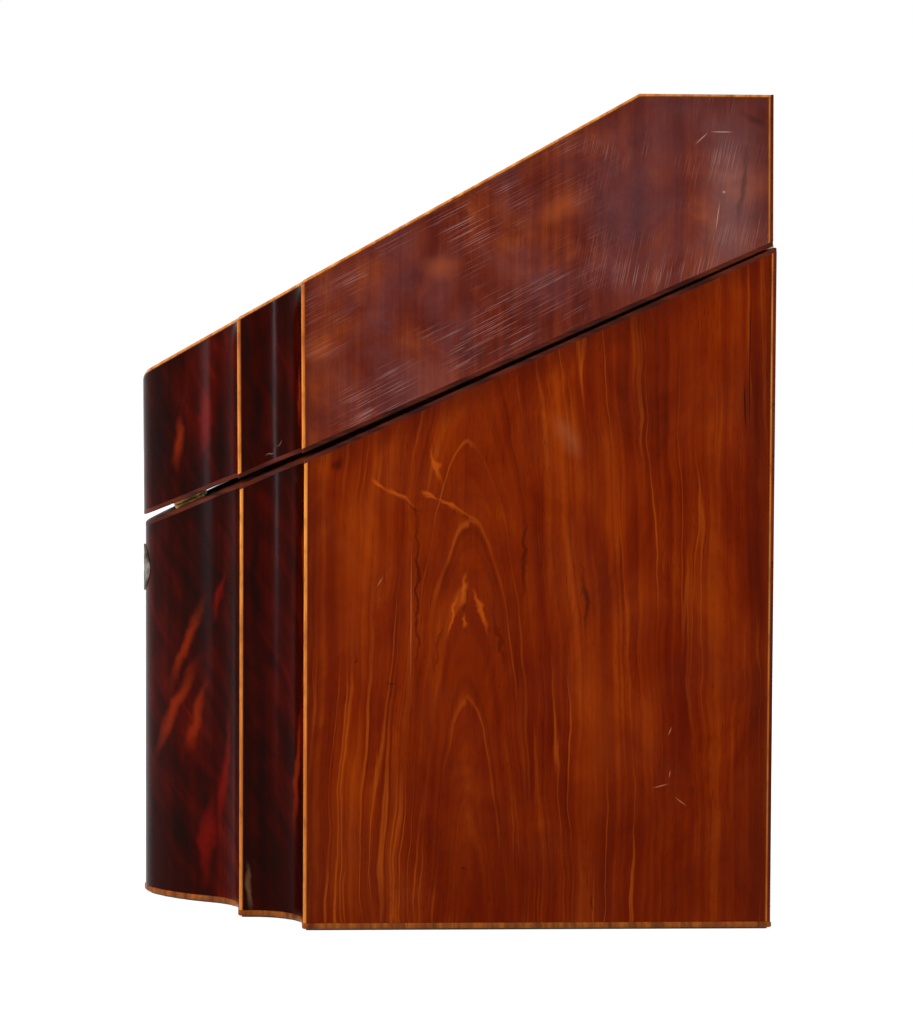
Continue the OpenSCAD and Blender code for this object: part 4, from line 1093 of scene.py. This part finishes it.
def side_material():
    material, shader, w = new_material("side_mahogany", roughness=0.34, specular=0.012)
    place = cut_place(w)
    rings = w.use(RINGS, Place=place, Heart=0.0055, Slope=0.12, Foot=0.02)
    streaks = w.use(STREAKS, Place=place, Scale=1.0)
    pores = w.use(PORES, Place=place, Amount=0.3)["Mask"]
    cloud = w.drawn(place, (30, 15, 1), 4.0, 0.6, 0.5)
    tone = w.plus(w.times(rings["Tone"], 0.42), w.plus(w.times(streaks["Wide"], 0.18), w.times(cloud, 0.4)))
    shade = w.ramp(tone, [(0.36, 82, 16, 1), (0.45, 103, 25, 2), (0.52, 118, 34, 2), (0.62, 142, 52, 5)])
    sides = w.split(place)
    foot = w.plus(sides[1], w.times(cloud, 0.09))
    shade = w.mix(w.step(foot, 0.07, 0.15, 0.34, 0.0), shade, colour(74, 13, 2))
    arch = w.times(w.step(w.math("ABSOLUTE", w.minus(sides[0], 0.012)), 0.02, 0.07, 0.9, 0.3), rings["Lines"])
    fine_lines = w.step(streaks["Fine"], 0.5, 0.74)
    for mask, share, rgb in ((arch, 0.4, (62, 11, 2)), (rings["Bright"], 0.5, (168, 74, 14)),
                             (fine_lines, 0.26, (70, 14, 3)), (pores, 0.5, (44, 9, 3))):
        shade = w.tint(shade, mask, share, rgb)
    bent, broad = wandering(w, place, 130.0, 7.0), wandering(w, place, 40.0, 14.0)
    for where, items, soft, share, rgb in (
            (bent, SIDE_FLAMES, 0.8, 0.62, (182, 78, 12)), (bent, SIDE_SHADOWS, 0.8, 0.5, (58, 10, 2)),
            (bent, SIDE_DARK, 0.8, 0.6, (36, 7, 3)), (broad, SIDE_LIGHT, 1.0, 0.30, (150, 56, 6)),
            (broad, SIDE_RED, 1.0, 0.36, (84, 12, 2)), (place, SIDE_SCRATCHES, 0.8, 0.55, (186, 120, 84))):
        shade = w.tint(shade, marks(w, where, items, soft), share, rgb)
    crack = marks(w, wandering(w, place, 30.0, 2.0), SIDE_CRACK, 0.7)
    shade = w.tint(shade, crack, 0.85, (22, 6, 4))
    haze = w.use(HAZE, Place=place)["Mask"]
    pale_haze = marks(w, bent, [(49, 218, -58, 14, 6)], 1.0)
    shade = w.mix(w.plus(w.times(haze, 0.03), w.times(pale_haze, 0.22)), shade, colour(146, 96, 62))
    shade = dark_edges(w, shade, cloud, 12.0, 5.0, 20.0, 0.5, (66, 14, 5))
    w.put(shader.inputs["Base Color"], shade)
    fine = w.use(SCRATCHES, Place=place, Angle=0.5, Amount=0.42)["Mask"]
    w.put(shader.inputs["Roughness"], w.plus(0.31, w.plus(w.times(fine, 0.25), w.times(haze, 0.12))))
    bump(w, shader, w.minus(1.0, w.plus(w.times(pores, 0.8), crack)), 0.05, 0.5)
    return material


side_mahogany = side_material()
dress(side_mahogany, pieces["side", "right"], pieces["side", "left"])
print("dressed the sides in", side_mahogany.name)

# %% [markdown]
# ## Mahogany of the lid
# The lid's leaves are a shade redder, their polish is dull in clouds, and they have many fine scratches:
# slanting ones in front and steep ones behind. The purple-grey bloom over the dull clouds and a broad veil high
# at the back are painted reflection.
# %% Lid mahogany


def lid_material():
    material, shader, w = new_material("lid_mahogany", roughness=0.4, specular=0.06)
    place = cut_place(w)
    streaks = w.use(STREAKS, Place=w.vector("ADD", place, (0.31, 0.17, 0)), Scale=1.1)
    pores = w.use(PORES, Place=place, Amount=0.3)["Mask"]
    cloud = w.drawn(w.vector("ADD", place, (0.4, 0.2, 0)), (28, 26, 1), 4.0, 0.6, 0.6)
    tone = w.plus(w.times(streaks["Wide"], 0.35), w.times(cloud, 0.65))
    shade = w.ramp(tone, [(0.34, 70, 14, 5), (0.47, 92, 26, 8), (0.56, 108, 38, 12), (0.68, 136, 58, 20)])
    bent = wandering(w, place, 70.0, 9.0)
    warm = marks(w, bent, [(-60, 256, 20, 13, 9), (-5, 293, 10, 12, 7), (48, 318, 25, 16, 8)], 1.0)
    steep = w.step(w.plus(w.split(place)[0], w.times(cloud, 0.03)), 0.055, 0.095)
    slanting = w.use(SCRATCHES, Place=place, Angle=-0.48, Amount=0.40)["Mask"]
    upright = w.use(SCRATCHES, Place=place, Angle=-1.36, Amount=0.42)["Mask"]
    fine = w.plus(w.times(slanting, w.minus(1.0, steep)), w.times(upright, steep))
    patchy = w.step(w.drawn(place, (20, 30, 1)), 0.42, 0.66)
    for mask, share, rgb in ((w.step(streaks["Fine"], 0.5, 0.74), 0.3, (58, 13, 7)), (pores, 0.5, (38, 10, 6)),
                             (warm, 0.45, (158, 72, 26)), (w.times(fine, patchy), 0.42, (168, 128, 120))):
        shade = w.tint(shade, mask, share, rgb)
    # the dull clouds of the polish are rougher; the purple-grey laid over them, a little more towards the back, is
    # painted reflection
    haze = w.use(HAZE, Place=w.vector("ADD", place, (0.2, 0.5, 0)))["Mask"]
    shade = w.mix(w.plus(w.times(haze, 0.22), w.times(steep, 0.05)), shade, colour(112, 80, 84))
    scored = [(108.6, 349, 43, 4.4, 0.35), (117.6, 351.9, 0, 6, 0.35), (115.8, 315.2, 82, 8, 0.3),
              (118.5, 325.7, 0, 0.9, 0.7)]
    stains = [(131.5, 357, -38, 7, 3.0), (127, 330, 84, 26, 2.2)]
    # a broad purple-grey veil high at the back, which is painted reflection, then pale scored lines and dark stains
    for where, items, soft, share, rgb in (
            (bent, [(122, 322, 88, 60, 20)], 1.0, 0.34, (124, 98, 98)), (place, scored, 0.7, 0.6, (190, 150, 130)),
            (bent, stains, 0.9, 0.5, (40, 17, 15))):
        shade = w.tint(shade, marks(w, where, items, soft), share, rgb)
    shade = dark_edges(w, shade, cloud, 10.0, 4.0, 15.0, 0.35, (60, 16, 10))
    w.put(shader.inputs["Base Color"], shade)
    w.put(shader.inputs["Roughness"], w.plus(0.38, w.plus(w.times(fine, 0.2), w.times(haze, 0.15))))
    bump(w, shader, w.minus(1.0, w.plus(w.times(pores, 0.7), w.times(fine, 0.4))), 0.04, 0.5)
    return material


lid_mahogany = lid_material()
dress(lid_mahogany, pieces["lid_side", "right"], pieces["lid_side", "left"], pieces["slope"], pieces["top"])
print("dressed the lid in", lid_mahogany.name)

# %% [markdown]
# ## Mahogany of the front
# The front is the showpiece: very dark, highly polished curl mahogany whose orange flames run slantwise. On
# the bow two long flames sweep down from the nose. The deep polish keeps it dark except where a window's
# light runs up a curve.
# %% Front mahogany


def front_material(name, tilt, flames=(), red=(), pale=(), dents_and_shade=()):
    """Curl at an angle of tilt, with four kinds of ovals: flames, red patches, pale marks and dark marks.

    The pale marks are worn scratches and, at the lower corners, a painted reflection of the floor. The dark marks
    are small dents and, in long bands, painted shade.
    """
    material, shader, w = new_material(name, roughness=0.2, specular=0.022)
    place = cut_place(w)
    curl = w.drawn(place, (26, 120, 1), 3.0, 0.55, 0.5, turn=tilt)
    cloud = w.drawn(place, (24, 9, 1), 3.0, 0.55, 0.4)
    streaks = w.use(STREAKS, Place=place, Scale=1.0)
    pores = w.use(PORES, Place=place, Amount=0.3)["Mask"]
    tone = w.plus(w.times(curl, 0.3), w.plus(w.times(streaks["Wide"], 0.2), w.times(cloud, 0.5)))
    shade = w.ramp(tone, [(0.36, 18, 4, 1), (0.47, 40, 3, 0), (0.56, 62, 5, 0), (0.68, 98, 18, 2)])
    shade = w.tint(shade, pores, 0.5, (16, 3, 2))
    bent = wandering(w, place, 50.0, 12.0)
    # the pale spots low on the bow and the wing beside the arris are a painted reflection of the floor; the other pale
    # marks are scratches
    for places, share, rgb in ((flames, 0.5, (142, 40, 6)), (red, 0.55, (116, 12, 3)), (pale, 0.6, (150, 104, 66)),
                               (dents_and_shade, 0.7, (14, 4, 3))):
        if places:
            shade = w.tint(shade, marks(w, bent, places, 0.95), share, rgb)
    shade = dark_edges(w, shade, cloud, 10.0, 4.0, 13.0, 0.6, (22, 5, 2))
    w.put(shader.inputs["Base Color"], shade)
    w.put(shader.inputs["Roughness"], w.plus(0.17, w.times(w.use(HAZE, Place=place)["Mask"], 0.12)))
    bump(w, shader, w.minus(1.0, w.times(pores, 0.8)), 0.04, 0.4)
    return material


# Each front: the tilt of its curl, then flames, red patches, pale marks and dark marks as (u, v, angle, half length,
# half width). The long dark bands on the wing and the lid's wing and the broad ones on the lid's bow are painted shade;
# only the two small dark marks are dents.
FRONTS = {
    "bow": (52, [(31, 90, 59, 36, 5), (44, 87, 70, 22, 3.5), (38, 120, 64, 30, 4), (-31, 90, 121, 34, 5),
                 (-52, 160, 110, 26, 4)],
            [(57, 143, 71, 16, 2.4), (60, 60, 80, 40, 4), (50, 30, 84, 26, 5)], [(88, 12, 86, 12, 2.0)],
            [(17.7, 112.4, 60, 6, 0.6)]),
    "wing": (60, [(30, 70, 84, 34, 3.4), (36, 165, 86, 24, 3)], [(38, 110, 88, 60, 4)], [(2.5, 14, 90, 14, 1.8)],
             [(8, 60, 90, 90, 5), (6, 150, 90, 70, 4), (38, 190, 88, 30, 6)]),
    "lid_bow": (60, [(34, 212, 80, 16, 4)], [(50, 222, 84, 20, 4)], [],
                [(45.7, 200.5, 20, 2.0, 0.9), (22, 214, 90, 44, 14), (60, 212, 90, 44, 9)]),
    "lid_wing": (70, [(34, 236, 88, 18, 3.4)], [(38, 225, 88, 26, 3)],
                 [(12.4, 207.7, 30, 3, 0.35), (16.9, 213.1, 40, 3, 0.35)], [(7, 225, 90, 34, 4)])}
for title, settings in FRONTS.items():
    leaves = [pieces[key] for key in (title, (title, "right"), (title, "left")) if key in pieces]
    dress(front_material(f"{title}_mahogany", *settings), *leaves)
    print(title, "mahogany on", [leaf.name for leaf in leaves])

# %% [markdown]
# ## Strings, plain woods, cloth and metals
# Boxwood under old polish is orange-tan, dirtier along its edges. The hidden boards are pine, which has
# yellow-brown rings.
# %% Plain woods


def darker(shade, factor):
    return tuple(factor * c for c in shade[:3]) + (1.0,)


def grained(name, light, dark, place_of, roughness=0.5, specular=0.35, pore=0.4, scale=1.0, dirt=None, joint=0.0):
    """A plain wood: streaks between two colours, pores or dirt over them, a dark joint beside, a slight relief."""
    material, shader, w = new_material(name, roughness=roughness, specular=specular)
    place, light, dark = place_of(w), colour(*light), colour(*dark)
    streaks = w.use(STREAKS, Place=place, Scale=scale)
    pores = w.use(PORES, Place=place, Amount=pore)["Mask"]
    shade = w.mix(w.step(streaks["Wide"], 0.32, 0.68), dark, light)
    shade = w.mix(w.times(w.step(streaks["Fine"], 0.5, 0.75), 0.4), shade, dark)
    shade = w.mix(w.times(pores, 0.55), shade, darker(dark, 0.35))
    if dirt:
        shade = w.tint(shade, w.step(w.drawn(place, (150, 60, 60), 3.0, 0.65), 0.45, 0.7), 0.55, dirt)
    if joint:
        gaps = edge_distances(w)
        near = w.math("MINIMUM", gaps[0], gaps[1])
        shade = w.mix(w.step(near, 0.1, joint, 0.85, 0.0), shade, darker(dark, 0.2))
    w.put(shader.inputs["Base Color"], shade)
    w.put(shader.inputs["Roughness"], w.plus(roughness - 0.05, w.times(streaks["Fine"], 0.12)))
    bump(w, shader, w.minus(streaks["Fine"], pores), 0.03, 0.4)
    return material


def some(*names):
    return [nodes[name] for name in names]


dress(grained("boxwood", (226, 142, 58), (176, 86, 24), cut_place, 0.42, 0.08, 0.2, dirt=(112, 42, 12), joint=0.6),
      *case_strings, *lid_strings, top_string)
dress(grained("board_boxwood", (226, 158, 84), (180, 106, 46), ordered("XYZ"), 0.45, 0.3, 0.2, dirt=(120, 60, 26)),
      nodes["board_strings"])
dress(grained("rim_mahogany", (88, 32, 16), (46, 14, 8), ordered("ZXY"), 0.4, 0.05), rim, lid_rim)
dress(grained("base_mahogany", (160, 84, 22), (98, 42, 8), cut_place, 0.4, 0.08, dirt=(60, 26, 8)), moulding)
dress(grained("board_mahogany", (128, 58, 28), (84, 32, 16), ordered("XYZ"), 0.38, 0.15, 0.45),
      pieces["cutlery_board"])
dress(grained("back_mahogany", (118, 40, 10), (76, 18, 4), ordered("XZY"), 0.36, 0.05, 0.35),
      *some("back_veneer", "lid_back_veneer"))
PINE = {
    "pine_upright": ("XZY", (206, 160, 100), (168, 116, 62), (128, 92, 56), [pieces["partitions"], *some(
        "back_core", "bow_core", "wing_core_left", "wing_core_right", "lock_block", "lid_back_core", "lid_bow_core",
        "lid_wing_core_left", "lid_wing_core_right", "lid_block")]),
    "pine_side": ("YZX", (204, 158, 98), (166, 114, 60), (126, 90, 54), some(
        "side_core_left", "side_core_right", "lid_side_core_left", "lid_side_core_right")),
    "pine_flat": ("YXZ", (208, 164, 104), (170, 120, 64), (130, 94, 58), some(
        "bottom_board", "board_cleats", "slope_panel", "top_panel"))}
for title, (order, light, dark, dirt, boards) in PINE.items():
    dress(grained(title, light, dark, ordered(order), 0.6, 0.3, 0.15, 0.6, dirt), *boards)
    print(title, "on", len(boards), "boards")

# %% [markdown]
# Wool scatters light in its fuzz, so it is very rough, has a little sheen and a fine relief. The baize under
# the base is an old olive green and the lid's lining a deeper, cleaner one.
# %% Wool cloth


def wool(name, light, dark):
    material, shader, w = new_material(name, roughness=0.95, specular=0.1)
    parts = w.use(CLOTH, Place=ordered("XYZ")(w))
    w.put(shader.inputs["Base Color"], w.mix(w.step(parts["Tone"], 0.35, 0.75), colour(*dark), colour(*light)))
    shader.inputs["Sheen Weight"].default_value = 0.3
    bump(w, shader, parts["Height"], 0.25, 0.8)
    return material


dress(wool("baize_green", (70, 74, 44), (30, 34, 20)), baize)
dress(wool("lining_green", (60, 86, 54), (28, 48, 30)), lining)
print("dressed", baize.name, "and", lining.name)

# %% [markdown]
# Brass and steel are dull with handling and age: tarnish lies in patches, and fine filing lines cross them.
# %% Metals


def metal(name, bright, dull, roughness, scale=160.0):
    """Aged metal: tarnish in soft patches dulls the colour and roughens the face, with fine filing lines."""
    material, shader, w = new_material(name, roughness=roughness, metallic=1.0)
    place = ordered("XYZ")(w)
    patch = w.step(w.noise(place, scale, 5.0, 0.65), 0.38, 0.66)
    lines = w.drawn(place, (90, 4200, 4200), 2.0, 0.5)
    w.put(shader.inputs["Base Color"], w.mix(patch, colour(*bright), colour(*dull)))
    w.put(shader.inputs["Roughness"], w.plus(roughness, w.times(patch, 0.22)))
    w.put(shader.inputs["Metallic"], w.minus(1.0, w.times(patch, 0.25)))
    bump(w, shader, w.plus(lines, w.times(patch, -0.6)), 0.02, 0.4)
    return material


dress(metal("lock_brass", (168, 130, 72), (92, 66, 36), 0.38), pieces["lock_selvedge"], pieces["link_plate"],
      *some("lock_case", "lock_pin", "lock_screws", "link_screws"))
dress(metal("hinge_brass", (206, 166, 96), (118, 84, 44), 0.32, 220.0), pieces["hinge_lower_leaves"],
      pieces["hinge_upper_leaves"], *some("hinge_lower_screws", "hinge_upper_screws"))
dress(metal("steel", (168, 168, 164), (86, 80, 74), 0.34, 240.0), *some("bolt_spring", "hinge_pins"),
      pieces["lock_bolt"])
dress(metal("escutcheon_metal", (124, 118, 108), (58, 52, 46), 0.38, 200.0), pieces["escutcheon"],
      nodes["escutcheon_pins"])

# %% [markdown]
# ## Floor, backdrop and light
# The box stands on a white ground. Seen straight from the camera, in a reflection or through glass, the
# ground and the world are white, and a soft trace of the box's shadow stays on the floor.
# %% Ground and world
FLOOR_HALF = 6
floor_mesh = bpy.data.meshes.new("floor")
floor_mesh.from_pydata([(x * FLOOR_HALF, y * FLOOR_HALF, 0) for x, y in ((-1, -1), (1, -1), (1, 1), (-1, 1))], [],
                       [(0, 1, 2, 3)])
floor = linked("floor", floor_mesh)


def seen_rays(w):
    """One for rays that a viewer follows, straight or by way of a reflection or glass; zero for lighting."""
    rays = w.node("LightPath").outputs
    return w.most([rays["Is Camera Ray"], rays["Is Glossy Ray"], rays["Is Transmission Ray"]])


ground, ground_shader, w = new_material("ground", roughness=0.9, specular=0.0)
ground_shader.inputs["Base Color"].default_value = (0.8, 0.8, 0.8, 1)
w.put(ground_shader.inputs["Emission Strength"], w.times(seen_rays(w), 0.72))
ground_shader.inputs["Emission Color"].default_value = (1, 1, 1, 1)
dress(ground, floor)

world = bpy.data.worlds.new("world")
world.use_nodes = True
bpy.context.scene.world = world
w = Wiring(world.node_tree)
back = world.node_tree.nodes["Background"]
back.inputs["Color"].default_value = (1, 1, 1, 1)
w.put(back.inputs["Strength"], w.plus(w.times(seen_rays(w), 0.5), 0.5))
print("floor and world are white")

# %% [markdown]
# One tall, narrow, window-like lamp stands in front of the box and draws the upright lights on its curves.
# The other two are broad: one above like a skylight, one low behind to keep the dark parts readable.
# %% Lamps


def lamp(name, azimuth, distance, height, width, tall, power, tint=(1, 1, 1)):
    """Area lamp at an azimuth from +X towards -Y, aimed at the middle of the box."""
    data = bpy.data.lights.new(name, "AREA")
    data.shape, data.size, data.size_y, data.energy, data.color = "RECTANGLE", width, tall, power, tint
    made = linked(name, data)
    at = np.array([distance * cos(azimuth), -distance * sin(azimuth), height])
    aim = np.array([0, 0, 0.2]) - at
    made.location = at
    made.rotation_euler = Vector(aim).to_track_quat("-Z", "Y").to_euler()


lamp("window", 57, 2.2, 0.6, 0.16, 2.0, 50, (0.84, 0.9, 1.0))
lamp("sky", 20, 1.6, 2.4, 2.0, 2.0, 13)
lamp("fill", -10, 2.6, 0.9, 1.6, 1.6, 7)
bpy.context.scene.view_settings.view_transform = "Standard"
